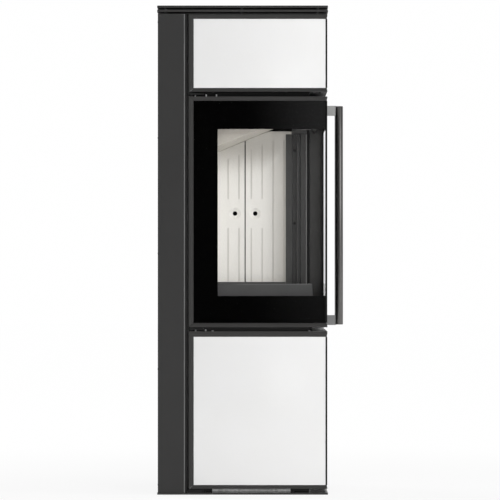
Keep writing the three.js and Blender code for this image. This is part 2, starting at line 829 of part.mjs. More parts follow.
function makeHearth(group) {
  const z = [zDoor + hearthTop - hearthThickness, zDoor + hearthTop];
  const inner = {
    x: [seatX + firePlate + clearance, innerRight - firePlate - clearance],
    y: [seatY + firePlate + clearance, innerRear - firePlate - clearance],
  };
  const grateCentre = [(seatX + innerRight) / 2, (seatY + innerRear) / 2];
  const grateX = [grateCentre[0] - grateLength / 2, grateCentre[0] + grateLength / 2];
  const grateY = [grateCentre[1] - grateWidth / 2, grateCentre[1] + grateWidth / 2];
  const hearth = cut(
    block(inner.x, inner.y, z),
    block(grateX, grateY, [z[1] - grateThickness, z[1] + 1]),
    block(
      [grateX[0] + grateLedge, grateX[1] - grateLedge],
      [grateY[0] + grateLedge, grateY[1] - grateLedge],
      [z[0] - 1, z[1]],
    ),
  );
  addPiece(group, 'hearth_slab', hearth, whiteLining);

  const gx = [grateX[0] + clearance, grateX[1] - clearance];
  const gy = [grateY[0] + clearance, grateY[1] - clearance];
  const gz = [z[1] - grateThickness + clearance, z[1]];
  const slotPitch = (gx[1] - gx[0] - 2 * grateLedge) / grateSlots;
  const slots = Array.from({ length: grateSlots }, (_, i) => {
    const x0 = gx[0] + grateLedge + i * slotPitch + grateBar / 2;
    const slotY = [gy[0] + grateLedge, gy[1] - grateLedge];
    return block([x0, x0 + slotPitch - grateBar], slotY, [gz[0] - 1, gz[1] + 1]);
  });
  addPiece(group, 'grate', cut(block(gx, gy, gz), ...slots), castIron);

  const panTop = zFireFloorTop + clearance + ashPanDepth;
  const panX = [grateX[0] - ashPanSideReach, grateX[1] + ashPanSideReach];
  const panY = [seatY + 3 * firePlate, grateY[1] - ashPanRearInset];
  const pan = cut(
    block(panX, panY, [zFireFloorTop + clearance, panTop]),
    block(
      [panX[0] + ashPanWall, panX[1] - ashPanWall],
      [panY[0] + ashPanWall, panY[1] - ashPanWall],
      [zFireFloorTop + clearance + ashPanWall, panTop + 1],
    ),
  );
  addPiece(group, 'ash_pan', pan, galvanised);

  // Frame that carries the slab over the ash pan: two rails and a rear cross bar
  const frameZ = [zFireFloorTop + clearance, z[0] - clearance];
  const hearthFrame = cut(
    block(inner.x, inner.y, frameZ),
    block(
      [inner.x[0] + hearthRail, inner.x[1] - hearthRail],
      [inner.y[0] - 1, inner.y[1] - hearthCrossBar],
      [frameZ[0] - 1, frameZ[1] + 1],
    ),
  );
  addPiece(group, 'hearth_frame', hearthFrame, fireSteel);

  // Low guard in front of the embers, round the glazed corner
  const guardZ = [zDoor + guardTop - guardHeight, zDoor + guardTop];
  const out = guardSheet + clearance;
  const guardX = [seatX - out, innerRight - guardEndInset];
  const guardY = [seatY - out, innerRear - guardRearInset];
  const guard = angle(guardX, guardY, guardSheet, guardZ);
  addPiece(group, 'log_guard', guard, fireSteel);

  // Sloping sheet that turns the washing air down the front glass, with a leg on the lintel
  const face = seatY - clearance;
  const washTip = [seatY - washStripReach, zLintel - washStripDrop];
  const washSlope = (zLintel + washStripRise - washTip[1]) / (face - washTip[0]);
  const washLength = Math.hypot(1, washSlope);
  const outerTip = [
    washTip[0] - washStripSheet * washSlope / washLength,
    washTip[1] + washStripSheet / washLength,
  ];
  const outerFace = face - washStripSheet;
  const strip = sideProfile([
    washTip,
    [face, zLintel + washStripRise],
    [face, zLintel + washStripLeg],
    [outerFace, zLintel + washStripLeg],
    [outerFace, outerTip[1] + (outerFace - outerTip[0]) * washSlope],
    outerTip,
  ], [seatX + washStripSideInset, innerRight - washStripFarInset]);
  addPiece(group, 'air_wash_strip', strip, stainless);
}

// ---------- L-shaped units, in a frame whose x and y start at their outer faces ----------

const opening = (top, bottom, height) => [bottom, height - top];

function chamfers(zWindow) {
  const spread = chamferWidth * (1 + 1 / chamferDepth);
  const rearEnd = wingLength - frameBar;
  const farEnd = bodyWidth - frameBar;
  const wide = [zWindow[0] - spread, zWindow[1] + spread];
  const past = -2 * chamferWidth;
  return [
    funnel([-1, chamferDepth], [[[past, rearEnd + spread], wide], [[past, rearEnd], zWindow]], 'side'),
    funnel([-1, chamferDepth], [[[past, farEnd + spread], wide], [[past, farEnd], zWindow]], 'front'),
  ];
}

function wingBlock(height) {
  return join(
    block([0, wingDepth], [0, wingLength], [0, height]),
    block([0, bodyWidth], [0, wingDepth], [0, height]),
  );
}

// Bores for the pins of the two hinge brackets
function hingeBores(height) {
  const place = [hingeInset, wingLength - frameBar / 2];
  const radius = hingePinRadius + clearance;
  return [
    rod(radius, place, [-1, hingePinLength + 1]),
    rod(radius, place, [height - hingePinLength - 1, height + 1]),
  ];
}

function makeTray(group, names, height, topBar) {
  const zWindow = opening(topBar, trayBottomBar, height);
  const pocket = paneRecess + tileThickness + clearance;
  const strip = cornerStrip + paneRecess;
  const back = pocket + trayBacking;
  const rearEnd = wingLength - frameBar;
  const farEnd = bodyWidth - frameBar;
  const tray = cut(
    wingBlock(height),
    ...chamfers(zWindow),
    block([-1, pocket], [strip, rearEnd], zWindow),
    block([strip, farEnd], [-1, pocket], zWindow),
    block([-1, paneRecess], [-1, strip + 1], zWindow),
    block([-1, strip + 1], [-1, paneRecess], zWindow),
    block([back, wingDepth + 1], [back, rearEnd], [trayRim, height - trayRim]),
    block([back, bodyWidth - farBarBack], [back, wingDepth + 1], [trayRim, height - trayRim]),
    ...hingeBores(height),
  );
  addPiece(group, names.tray, tray, framePaint);

  const tileZ = [zWindow[0] + paneGap, zWindow[1] - paneGap];
  const tileDepth = [paneRecess, paneRecess + tileThickness];
  const sideTile = block(tileDepth, [strip + paneGap, rearEnd - paneGap], tileZ);
  const frontTile = block([strip + paneGap, farEnd - paneGap], tileDepth, tileZ);
  addPiece(group, names.sideTile, cut(sideTile, ...tileNotch(strip, tileDepth, tileZ)), tileGlaze);
  addPiece(group, names.frontTile, frontTile, tileGlaze);
}

// The side tile stops short of the front tile behind the corner strip
function tileNotch(strip, tileDepth, tileZ) {
  const z = [tileZ[0] - 1, tileZ[1] + 1];
  return [block([tileDepth[0] - 1, tileDepth[1] + 1], [strip, tileDepth[1] + paneGap], z)];
}

function makeDoor(group) {
  const height = doorHeight;
  const zWindow = opening(doorRail, doorRail, height);
  const glassBack = paneRecess + glassThickness + clearance;
  const flangeStart = wingDepth - flangeThickness;
  const rearEnd = wingLength - frameBar;
  const farEnd = bodyWidth - frameBar;
  const farBack = bodyWidth - farBarBack;
  const flangeZ = [flangeWidth, height - flangeWidth];
  const ring = cut(
    wingBlock(height),
    ...chamfers(zWindow),
    block([-1, flangeStart], [-1, rearEnd], zWindow),
    block([-1, farEnd], [-1, glassBack], zWindow),
    block([-1, farBack], [-1, flangeStart], zWindow),
    block([-1, wingDepth + 1], [-1, wingLength - flangeWidth], flangeZ),
    block([-1, farBack], [-1, wingDepth + 1], flangeZ),
    ...hingeBores(height),
  );

  // Mitre lines at the rear corners, square joints at the handle post
  const mitre = (grow) => {
    const inner = [wingLength - frameBar, doorRail];
    const flangeEnd = wingLength - flangeWidth - 2 * grow - mitreRun;
    const shape = [
      [wingLength + frameBar / 10, -doorRail / 10 - grow],
      [inner[0], inner[1] - grow],
      [flangeEnd, inner[1] + mitreRise - grow],
      [flangeEnd, height - inner[1] - mitreRise + grow],
      [inner[0], height - inner[1] + grow],
      [wingLength + frameBar / 10, height + doorRail / 10 + grow],
    ];
    return sideProfile(shape, [-1, wingDepth + 1]);
  };
  const rearPostRegion = mitre(0);
  const rearPostCut = mitre(clearance);
  const farRegion = block([farBack, bodyWidth + 1], [-1, wingDepth + 1], [-1, height + 1]);
  const farCut = block([farBack - clearance, bodyWidth + 1], [-1, wingDepth + 1], [-1, height + 1]);
  const rails = cut(ring, rearPostCut, farCut);
  const lowerHalf = block([-1, bodyWidth], [-1, wingLength], [-1, height / 2]);
  const upperHalf = block([-1, bodyWidth], [-1, wingLength], [height / 2, height + 1]);

  addPiece(group, 'door_rear_post', ring.intersect(rearPostRegion), framePaint);
  addPiece(group, 'door_bottom_rail', rails.intersect(lowerHalf), framePaint);
  addPiece(group, 'door_top_rail', rails.intersect(upperHalf), framePaint);

  const spindlePlace = [bodyWidth - spindleInset, spindleDepth];
  const armSlots = armLevels().map(([z0, z1]) => block(
    [bodyWidth - spindleInset - eyeRadius - 1, bodyWidth + 1],
    [-1, spindleDepth + eyeRadius + 1],
    [z0 - 1, z1 + 1],
  ));
  const handlePost = cut(
    ring.intersect(farRegion),
    rod(spindleRadius + clearance, spindlePlace, [-1, height + 1]),
    ...armSlots,
  );
  addPiece(group, 'door_handle_post', handlePost, framePaint);

  const strip = cornerStrip + paneRecess;
  const glassZ = [zWindow[0] + paneGap, zWindow[1] - paneGap];
  const glassDepth = [paneRecess, paneRecess + glassThickness];
  const sideGlass = block(glassDepth, [strip + paneGap, rearEnd - paneGap], glassZ);
  const frontGlass = block([strip + paneGap, farEnd - paneGap], glassDepth, glassZ);
  const stripBar = block([paneRecess, strip], [paneRecess, strip], glassZ);
  addPiece(group, 'door_side_glass', sideGlass, darkGlass);
  addPiece(group, 'door_front_glass', frontGlass, darkGlass);
  addPiece(group, 'glass_corner_strip', stripBar, ropeSeal);

  // Flat bars that hold the panes against the frame
  const clampDepth = [glassBack, glassBack + clampThickness];
  const clampInset = doorRail + clearance;
  for (const [level, z0] of [['lower', clampInset], ['upper', height - clampInset - clampHeight]]) {
    const clampZ = [z0, z0 + clampHeight];
    const sideClamp = block(clampDepth, [strip + clearance, rearEnd - clearance], clampZ);
    const frontClamp = block([strip + clearance, farBack - 2 * clearance], clampDepth, clampZ);
    addPiece(group, `glass_clamp_${level}`, join(sideClamp, frontClamp), innerSteel);
  }

  // Rope seal on the inner flange, pressed against the firebox
  const sealDepth = [wingDepth + clearance, wingDepth + sealGap - clearance];
  const sealInset = (flangeWidth - sealWidth) / 2;
  const low = [sealInset, sealInset + sealWidth];
  const high = [height - sealInset - sealWidth, height - sealInset];
  const rearRun = wingLength - flangeWidth + sealInset - sealWidth / 2;
  const farRun = farBack + farSealInset;
  const sealEnds = [farRun + sealWidth, rearRun + sealWidth];
  const window = [low[1], high[0]];
  const sealX = [sealDepth[0], sealEnds[0]];
  const sealY = [sealDepth[0], sealEnds[1]];
  const seal = cut(
    angle(sealX, sealY, sealDepth[1] - sealDepth[0], [low[0], high[1]]),
    block([0, farRun], [0, sealDepth[1] + 1], window),
    block([0, sealDepth[1] + 1], [0, rearRun], window),
  );
  addPiece(group, 'door_seal', seal, ropeSeal);
}

// Heights of the two handle arms above the bottom of the door
function armLevels() {
  return [
    [barEndInset, barEndInset + armHeight],
    [doorHeight - barEndInset - armHeight, doorHeight - barEndInset],
  ];
}

// ---------- Handle, in a frame whose z axis is the latch spindle ----------

function makeHandle(group) {
  const barY = -(spindleDepth + barStandOff + barRadius);
  const barX = spindleInset - barInset;
  const bar = rod(barRadius, [barX, barY], [barEndInset, doorHeight - barEndInset], 32);
  addPiece(group, 'handle_bar', bar, stainless);

  for (const [index, name] of ['handle_lower_arm', 'handle_upper_arm'].entries()) {
    const z = armLevels()[index];
    const outerY = [barY, -(spindleDepth + armShoulder)];
    const arm = cut(
      join(
        rod(eyeRadius, [0, 0], z),
        block([-armTongue / 2, armTongue / 2], [outerY[1] - 1, 0], z),
        block([barX - armWidth / 2, armTongue / 2], outerY, z),
      ),
      rod(spindleRadius + clearance, [0, 0], [z[0] - 1, z[1] + 1]),
      rod(barRadius + clearance, [barX, barY], [z[0] - 1, z[1] + 1], 32),
    );
    addPiece(group, name, arm, stainless);
  }

  // Spindle with a curved hook in each of the gaps under and over the door
  const hookOutline = latchHookOutline();
  const spindle = join(
    rod(spindleRadius, [0, 0], [-spindleTail, doorHeight + spindleTail], 20),
    plate(hookOutline, [-hookThickness - hookGap, -hookGap]),
    plate(hookOutline, [doorHeight + hookGap, doorHeight + hookGap + hookThickness]),
  );
  addPiece(group, 'latch_spindle', spindle, stainless);
}

// A boss round the spindle, an arm to the rear and a finger that curls clockwise round the keeper pin
function latchHookOutline() {
  const ring = (radius, from, to, steps) => Array.from({ length: steps + 1 }, (_, i) => {
    const angle = THREE.MathUtils.degToRad(from + ((to - from) * i) / steps);
    return [radius * Math.cos(angle), radius * Math.sin(angle)];
  });
  const fingerInner = hookReach + keeperPinRadius + hookRunningGap;
  const fingerOuter = fingerInner + hookFinger;
  const tip = 97.5;
  const root = 128;
  return [
    ...ring(eyeRadius, 150, 450, 14),
    ...ring(fingerInner, root - 12, tip, 4),
    ...ring(fingerOuter, tip, root, 5),
  ];
}

// ---------- Hinges, keepers and hangers on the body ----------

function makeHinges(group) {
  const plateX = [left + hingePlateInset, seatX - clearance];
  const plateY = [innerRear - hingePlateReach, hingeY + hingePlateMargin];
  const pinUp = (z0, z1) => rod(hingePinRadius, [hingeX, hingeY], [z0, z1], 20);
  const pinReach = hingePinLength - pinEndGap;

  const lowerZ = [zBase + clearance, zLowerDoor - hingePlateInset];
  const lower = join(
    block(plateX, plateY, lowerZ),
    pinUp(lowerZ[1] - 1, zLowerDoor + pinReach),
  );
  addPiece(group, 'lower_hinge_bracket', lower, innerSteel);

  const middleCentre = zLowerDoorTop + middleGap / 2;
  const middleZ = [middleCentre - hingePlateThickness / 2, middleCentre + hingePlateThickness / 2];
  const middle = join(
    block(plateX, plateY, middleZ),
    pinUp(zLowerDoorTop - pinReach, zDoor + pinReach),
  );
  addPiece(group, 'middle_hinge_bracket', middle, innerSteel);

  const upperCentre = zDoorTop + upperGap / 2;
  const upperZ = [upperCentre - hingePlateThickness / 2, upperCentre + hingePlateThickness / 2];
  const upper = join(
    block(plateX, plateY, upperZ),
    pinUp(zDoorTop - pinReach, zTray - hingePlateInset),
  );
  addPiece(group, 'upper_hinge_bracket', upper, innerSteel);
}

function makeKeepers(group) {
  const spindleX = right - spindleInset;
  const spindleY = front + spindleDepth;
  const pinPlace = [spindleX + 1, spindleY + hookReach];
  const plateX = [innerRight - keeperReach, spindleX + keeperEdge];
  const plateY = [pinPlace[1] - keeperPinRadius - 1, seatY - clearance];
  const lowerStart = zLowerDoorTop + keeperPlateGap;
  const lowerPlate = [lowerStart, lowerStart + keeperPlate];
  const lower = join(
    block(plateX, plateY, lowerPlate),
    rod(keeperPinRadius, pinPlace, [lowerPlate[1] - 1, zDoor - keeperPinEnd], 20),
  );
  addPiece(group, 'lower_latch_keeper', lower, galvanised);
  const upperStart = zTray - keeperPlateGap;
  const upperPlate = [upperStart - keeperPlate, upperStart];
  const upper = join(
    block(plateX, plateY, upperPlate),
    rod(keeperPinRadius, pinPlace, [zDoorTop + keeperPinEnd, upperPlate[0] + 1], 20),
  );
  addPiece(group, 'upper_latch_keeper', upper, galvanised);
}

function makeHangers(group) {
  const hangerTop = zTrayTop - trayRim - clearance;
  const z = [hangerTop - hangerHeight, hangerTop];
  const backing = paneRecess + tileThickness + clearance + trayBacking;
  const x = [left + backing + clearance, seatX - clearance];
  const y = [front + backing + clearance, seatY - clearance];
  const ends = [innerRight - postLeg, innerRear - postLeg];
  const webZ = [z[0] - 1, z[1] - postWall];
  const hanger = cut(
    angle([x[0], ends[0]], [y[0], ends[1]], x[1] - x[0], z),
    block([x[0] - 1, x[1] - postWall], [y[0] - 1, ends[1] + 1], webZ),
    block([x[0] - 1, ends[0] + 1], [y[0] - 1, y[1] - postWall], webZ),
  );
  addPiece(group, 'upper_tray_hanger', hanger, innerSteel);
}

// ---------- Air slide ----------

function makeAirSlide(group) {
  const zDamper = [zFireFloor - clearance - damperThickness, zFireFloor - clearance];
  const half = portPitch * portCount / 2;
  const damperReach = portLength / 2 + damperMargin;
  const damperY = [portCentreY - damperReach, portCentreY + damperReach];
  const leverTop = leverZ + leverThickness / 2;
  const leverY = [front + knobInset + leverSetback, damperY[1] - leverEndInset];
  const knobX = [leverRest - leverWidth, leverRest + leverWidth];
  const knobY = [front + knobInset, front + knobInset + knobDepth];
  const lever = join(
    block(leverX, leverY, [leverTop - leverThickness, leverTop]),
    block(leverX, [damperY[0] + 1, damperY[0] + 1 + leverWebWidth], [leverTop - 1, zDamper[0] + 1]),
    block(knobX, knobY, [leverZ - knobHeight / 2, leverZ + knobHeight / 2]),
  );
  const ports = portX.map((x) => block(
    [x - portWidth / 2, x + portWidth / 2],
    [portCentreY - portLength / 2, portCentreY + portLength / 2],
    [zDamper[0] - 1, zDamper[1] + 1],
  ));
  const damper = cut(block([-half, half], damperY, zDamper), ...ports);
  addPiece(group, 'air_slide', join(lever, damper), stainless);
}

makePlates(addGroup(stove));
makeCasing(addGroup(stove));
const lowerBody = addGroup(stove);
makePlinth(lowerBody);
makeCompartment(lowerBody);
makeAirPath(lowerBody);
const firebox = addGroup(stove);
makeFireboxShell(firebox);
makeFrontPost(firebox);
makeLining(firebox);
makeBaffles(firebox);
makeHearth(firebox);
const fittings = addGroup(stove);
makeHinges(fittings);
makeKeepers(fittings);
makeHangers(fittings);
makeAirSlide(addGroup(stove));

const lowerDoor = addGroup(stove, left, front, zLowerDoor);
makeTray(
  lowerDoor,
  { tray: 'lower_door_tray', sideTile: 'lower_side_tile', frontTile: 'lower_front_tile' },
  lowerDoorHeight,
  lowerTrayTopBar,
);
const fireboxDoor = addGroup(stove, left, front, zDoor);
makeDoor(fireboxDoor);
makeHandle(addGroup(fireboxDoor, bodyWidth - spindleInset, spindleDepth, 0));
const upperTray = addGroup(stove, left, front, zTray);
makeTray(
  upperTray,
  { tray: 'upper_tile_tray', sideTile: 'upper_side_tile', frontTile: 'upper_front_tile' },
  upperTrayHeight,
  upperTrayTopBar,
);

export default stove;
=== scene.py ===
import json
import math
import bmesh
import bpy
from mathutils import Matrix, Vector


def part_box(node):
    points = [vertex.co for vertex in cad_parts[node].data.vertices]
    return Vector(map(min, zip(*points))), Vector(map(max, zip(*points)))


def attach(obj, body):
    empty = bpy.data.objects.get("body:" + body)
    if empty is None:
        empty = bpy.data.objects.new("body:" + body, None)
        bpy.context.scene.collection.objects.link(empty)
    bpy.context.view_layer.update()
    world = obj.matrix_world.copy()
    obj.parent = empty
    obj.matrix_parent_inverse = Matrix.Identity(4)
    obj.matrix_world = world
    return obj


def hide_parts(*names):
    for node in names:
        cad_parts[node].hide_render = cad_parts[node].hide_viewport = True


# Tall wood stove clad in white tiles, with a glass corner. Metres, +Z up, front towards -Y, glazed side -X.
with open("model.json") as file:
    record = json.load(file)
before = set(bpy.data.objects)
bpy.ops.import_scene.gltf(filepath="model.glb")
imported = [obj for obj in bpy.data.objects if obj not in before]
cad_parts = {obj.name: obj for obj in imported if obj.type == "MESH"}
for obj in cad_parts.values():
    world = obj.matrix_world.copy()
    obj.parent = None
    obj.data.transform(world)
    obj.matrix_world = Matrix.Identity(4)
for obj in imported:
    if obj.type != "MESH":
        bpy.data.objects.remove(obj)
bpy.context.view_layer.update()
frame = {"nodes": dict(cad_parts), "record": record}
cadNodes = frame["nodes"]
print("frame loaded:", len(cadNodes), "nodes")


class Wire:
    # A socket that takes part in sums: each operator adds a Math node
    def __init__(self, board, socket):
        self.board = board
        self.socket = socket

    def maths(self, operation, *values):
        return self.board.wire("ShaderNodeMath", {"operation": operation}, dict(enumerate(values)))

    def __add__(self, other):
        return self.maths("ADD", self, other)

    def __sub__(self, other):
        return self.maths("SUBTRACT", self, other)

    def __rsub__(self, other):
        return self.maths("SUBTRACT", other, self)

    def __mul__(self, other):
        return self.maths("MULTIPLY", self, other)

    def __lt__(self, other):
        return self.maths("LESS_THAN", self, other)

    def __gt__(self, other):
        return self.maths("GREATER_THAN", self, other)

    __radd__ = __add__
    __rmul__ = __mul__

    def largest(self, other):
        return self.maths("MAXIMUM", self, other)

    def near(self, value, reach):
        return self.maths("COMPARE", self, value, reach)

    def ramp(self, low, high):
        # 0 at low and 1 at high, with a smooth turn at both
        return self.board.wire("ShaderNodeMapRange", {"interpolation_type": "SMOOTHSTEP"}, {
            "Value": self, "From Min": low, "From Max": high})


class Board:
    # A node tree with one way to add any node: its settings first, then the values or links of its sockets
    def __init__(self, tree):
        self.tree = tree

    def node(self, kind, settings=None, values=None):
        made = self.tree.nodes.new(kind)
        for key, value in (settings or {}).items():
            setattr(made, key, value)
        for key, value in (values or {}).items():
            if isinstance(value, Wire):
                self.tree.links.new(value.socket, made.inputs[key])
            else:
                made.inputs[key].default_value = value
        return made

    def wire(self, kind, settings=None, values=None, output=0):
        return Wire(self, self.node(kind, settings, values).outputs[output])


class Paint(Board):
    def place(self):
        return self.wire("ShaderNodeTexCoord", output="Object")

    def axes(self):
        split = self.node("ShaderNodeSeparateXYZ", None, {0: self.place()})
        return [Wire(self, split.outputs[i]) for i in range(3)]

    def ray(self, output):
        return self.wire("ShaderNodeLightPath", output=output)

    def noise(self, scale, detail, stretch=(1, 1, 1)):
        stretched = self.wire("ShaderNodeMapping", None, {"Vector": self.place(), "Scale": stretch})
        return self.wire("ShaderNodeTexNoise", None, {"Vector": stretched, "Scale": scale, "Detail": detail})

    def cells(self, scale, output):
        return self.wire("ShaderNodeTexVoronoi", None, {"Vector": self.place(), "Scale": scale}, output)

    def blend(self, factor, first, second):
        # Sockets 6 and 7 and output 2 are the Mix node's colours
        return self.wire("ShaderNodeMix", {"data_type": "RGBA"}, {0: factor, 6: first, 7: second}, 2)

    def spread(self, source, low, high):
        return source * (high - low) + low  # a 0..1 value laid evenly between low and high

    def bump(self, height, depth, strength):
        return self.wire("ShaderNodeBump", None, {"Height": height, "Distance": depth, "Strength": strength})


class Shaper(Board):
    # A geometry tree that ends in real faces with their material
    def __init__(self, name, sizes):
        super().__init__(bpy.data.node_groups.new(name, "GeometryNodeTree"))
        self.tree.interface.new_socket("Geometry", in_out="INPUT", socket_type="NodeSocketGeometry")
        for label, (kind, value) in sizes.items():
            socket = self.tree.interface.new_socket(label, in_out="INPUT", socket_type="NodeSocket" + kind)
            socket.default_value = value
        self.tree.interface.new_socket("Geometry", in_out="OUTPUT", socket_type="NodeSocketGeometry")
        self.start = self.node("NodeGroupInput")

    def given(self, label):
        return Wire(self, self.start.outputs[label])

    def close(self, geometry, material):
        real = self.wire("GeometryNodeRealizeInstances", None, {0: geometry})
        painted = self.wire("GeometryNodeSetMaterial", None, {"Geometry": real, "Material": material})
        self.node("NodeGroupOutput", None, {0: painted})

    def apply(self, piece):
        modifier = piece.modifiers.new("shape", "NODES")
        modifier.node_group = self.tree
        bakeModifiers(piece)


def newPaint(name):
    material = bpy.data.materials.new(name)
    material.use_nodes = True
    material.node_tree.nodes.clear()
    return material, Paint(material.node_tree)


def closePaint(paint, values):
    surface = paint.wire("ShaderNodeBsdfPrincipled", None, values)
    paint.node("ShaderNodeOutputMaterial", None, {"Surface": surface})


def shade(level, tint=(1, 1, 1)):
    # A colour from a screen grey of 0..255, tinted
    linear = ((level / 255 + 0.055) / 1.055) ** 2.4
    return tuple(linear * part for part in tint) + (1,)


# Painted steel. A noise is given by its scale and detail, and a range by its two ends
casingLook = {
    "grain": (900.0, 3.0), "patches": (7.0, 2.0), "grainShare": 0.6, "patchShare": 0.4,
    "dark": shade(48, (1.01, 1, 0.99)), "light": shade(58, (1.01, 1, 0.99)),
    "roughness": (0.5, 0.66), "gloss": 0.3, "depth": 0.00012, "bump": 0.6,
}
frameLook = dict(casingLook, grain=(1000.0, 3.0), patches=(9.0, 2.0), dark=shade(48, (1.02, 1, 0.98)),
                 light=shade(58, (1.02, 1, 0.98)), roughness=(0.48, 0.62), gloss=0.32, depth=0.0001)
innerLook = dict(casingLook, grain=(700.0, 3.0), patches=(12.0, 2.0), dark=shade(44, (1.01, 1, 0.99)),
                 light=shade(58, (1.01, 1, 0.99)), roughness=(0.55, 0.72), gloss=0.25)
fireLook = dict(casingLook, grain=(500.0, 3.0), patches=(14.0, 2.0), dark=shade(62, (1.0, 1, 0.99)),
                light=shade(82, (1.0, 1, 0.99)), roughness=(0.5, 0.7), gloss=0.35, depth=0.00016)
baseLook = dict(casingLook, roughness=(0.14, 0.2), gloss=0.5)
# painted light: a lighter copy of the inner paint, for the channel liner deep in a narrow gap that no lamp
# reaches and for the tray pan
linerLitLook = dict(innerLook, dark=shade(112), light=shade(124))
stripLook = dict(innerLook, dark=shade(8), light=shade(16))
# painted shade: a darker copy of the inner paint for the hinge brackets and the upper shell, which sit in the
# shade of the gaps
bracketShadedLook = dict(innerLook, dark=shade(28), light=shade(36))
# painted light: the log guard is a lighter copy of the fire steel, as its face gets little lamp light
guardLitLook = dict(fireLook, dark=shade(72), light=shade(92))

# Painted highlights, light and shade: another colour shows below or above a bound on an axis
paintedLightShadeNoise = {"noise": (30.0, 3.0), "range": (0.7, 1.2)}
paintedLightAndShade = {
    # painted highlight along the bent front edge of the rear casing
    "bentEdgeHighlight": {"below": {"x": -0.2475, "y": 0.1799}, "colour": shade(112)},
    # painted highlight along the front lip of the opening's front post
    "postLipHighlight": {"below": {"y": -0.2014}, "colour": shade(132)},
    # painted light: a lighter coat on the handle post's inner face, which the lamps leave dim
    "innerFaceLight": {"below": {"x": 0.2156}, "colour": shade(76, (1.01, 1, 0.98))},
    # painted shade: the firebox wall behind the lining is black, so that the air holes read dark
    "behindLiningShade": {"above": {"x": 0.2236}, "colour": shade(8)},
    # lighter along the top of the log guard
    "guardRim": {"above": {"z": 0.6438}, "colour": shade(104)},
}

# A painted highlight along the ridge of the mitre at the lower rear corner of a tray, along which y + z has
# one value
lowerMitreHighlight = {"x": -0.2488, "y": (0.1512, 0.1624), "z": (0.0176, 0.0306), "sum": 0.1808, "width": 0.001,
              "colour": shade(104)}
upperMitreHighlight = dict(lowerMitreHighlight, z=(1.2356, 1.2478), sum=1.3974)


def paintedLightShadeArea(paint, wear):
    axes = dict(zip("xyz", paint.axes()))
    area = paint.spread(paint.noise(*paintedLightShadeNoise["noise"]), *paintedLightShadeNoise["range"])
    for axis, bound in wear.get("below", {}).items():
        area = area * (axes[axis] < bound)
    for axis, bound in wear.get("above", {}).items():
        area = area * (axes[axis] > bound)
    return area


def mitreHighlightArea(paint, mitre):
    x, y, z = paint.axes()
    area = (y + z).near(mitre["sum"], mitre["width"]) * (x < mitre["x"])
    area = area * (y > mitre["y"][0]) * (y < mitre["y"][1])
    return area * (z > mitre["z"][0]) * (z < mitre["z"][1])


def coatedSteel(name, look, areaOf=None, mark=None):
    # Matt stove paint: a fine orange-peel grain and a little unevenness over a hand's breadth,
    # with the mark's colour over its area where one is given
    material, paint = newPaint(name)
    grain = paint.noise(*look["grain"])
    patches = paint.noise(*look["patches"])
    mix = grain * look["grainShare"] + patches * look["patchShare"]
    colour = paint.blend(mix, look["dark"], look["light"])
    if mark:
        colour = paint.blend(areaOf(paint, mark), colour, mark["colour"])
    closePaint(paint, {
        "Base Color": colour,
        "Roughness": paint.spread(grain, *look["roughness"]),
        "Specular IOR Level": look["gloss"],
        "Normal": paint.bump(grain, look["depth"], look["bump"]),
    })
    return material


casingPaint = coatedSteel("casingPaint", casingLook)
casingEdgeHighlightPaint = coatedSteel("casingEdgeHighlightPaint", casingLook, paintedLightShadeArea, paintedLightAndShade["bentEdgeHighlight"])
basePaint = coatedSteel("basePaint", baseLook)
framePaint = coatedSteel("framePaint", frameLook)
handlePostLitPaint = coatedSteel("handlePostLitPaint", frameLook, paintedLightShadeArea, paintedLightAndShade["innerFaceLight"])
lowerTrayHighlightPaint = coatedSteel("lowerTrayHighlightPaint", frameLook, mitreHighlightArea, lowerMitreHighlight)
upperTrayHighlightPaint = coatedSteel("upperTrayHighlightPaint", frameLook, mitreHighlightArea, upperMitreHighlight)
innerSteel = coatedSteel("innerSteel", innerLook)
linerLitSteel = coatedSteel("linerLitSteel", linerLitLook)
stripBlack = coatedSteel("stripBlack", stripLook)
bracketShadedSteel = coatedSteel("bracketShadedSteel", bracketShadedLook)
fireSteel = coatedSteel("fireSteel", fireLook)
postLipHighlightSteel = coatedSteel("postLipHighlightSteel", fireLook, paintedLightShadeArea, paintedLightAndShade["postLipHighlight"])
guardLitSteel = coatedSteel("guardLitSteel", guardLitLook, paintedLightShadeArea, paintedLightAndShade["guardRim"])
wallShadeSteel = coatedSteel("wallShadeSteel", fireLook, paintedLightShadeArea, paintedLightAndShade["behindLiningShade"])
print("painted steels ready")

tileLook = {
    "colour": shade(234), "warm": shade(231, (1.005, 1, 0.99)), "ripple": (9.0, 1.0), "specks": (180.0, 4.0),
    "speckHeight": 0.01, "roughness": (0.1, 0.16), "depth": 0.0006, "bump": 0.5,
}


def tileGlaze():
    material, paint = newPaint("tileGlaze")
    ripple = paint.noise(*tileLook["ripple"])
    specks = paint.noise(*tileLook["specks"])
    height = ripple + specks * tileLook["speckHeight"]
    closePaint(paint, {
        "Base Color": paint.blend(ripple, tileLook["colour"], tileLook["warm"]),
        "Roughness": paint.spread(specks, *tileLook["roughness"]),
        "Normal": paint.bump(height, tileLook["depth"], tileLook["bump"]),
    })
    return material


# Of each pane, the inner and the outer face; of the window, its foot and head and where it ends on each pane
glassLook = {
    "sideX": (-0.245, -0.249), "frontY": (-0.255, -0.259), "slack": 0.0004,
    "windowZ": (0.6091, 1.1213), "sideEnd": 0.0766, "frontEnd": 0.1606,
    "guardHeight": 0.6465, "guardShadeAlpha": 0.5, "glassShadeZ": (0.66, 1.08), "glassShadeAlpha": 0.16, "clearAlpha": 0.03,
    "dark": shade(2), "light": shade(4), "haze": (14.0, 3.0), "roughness": (0.05, 0.08),
}


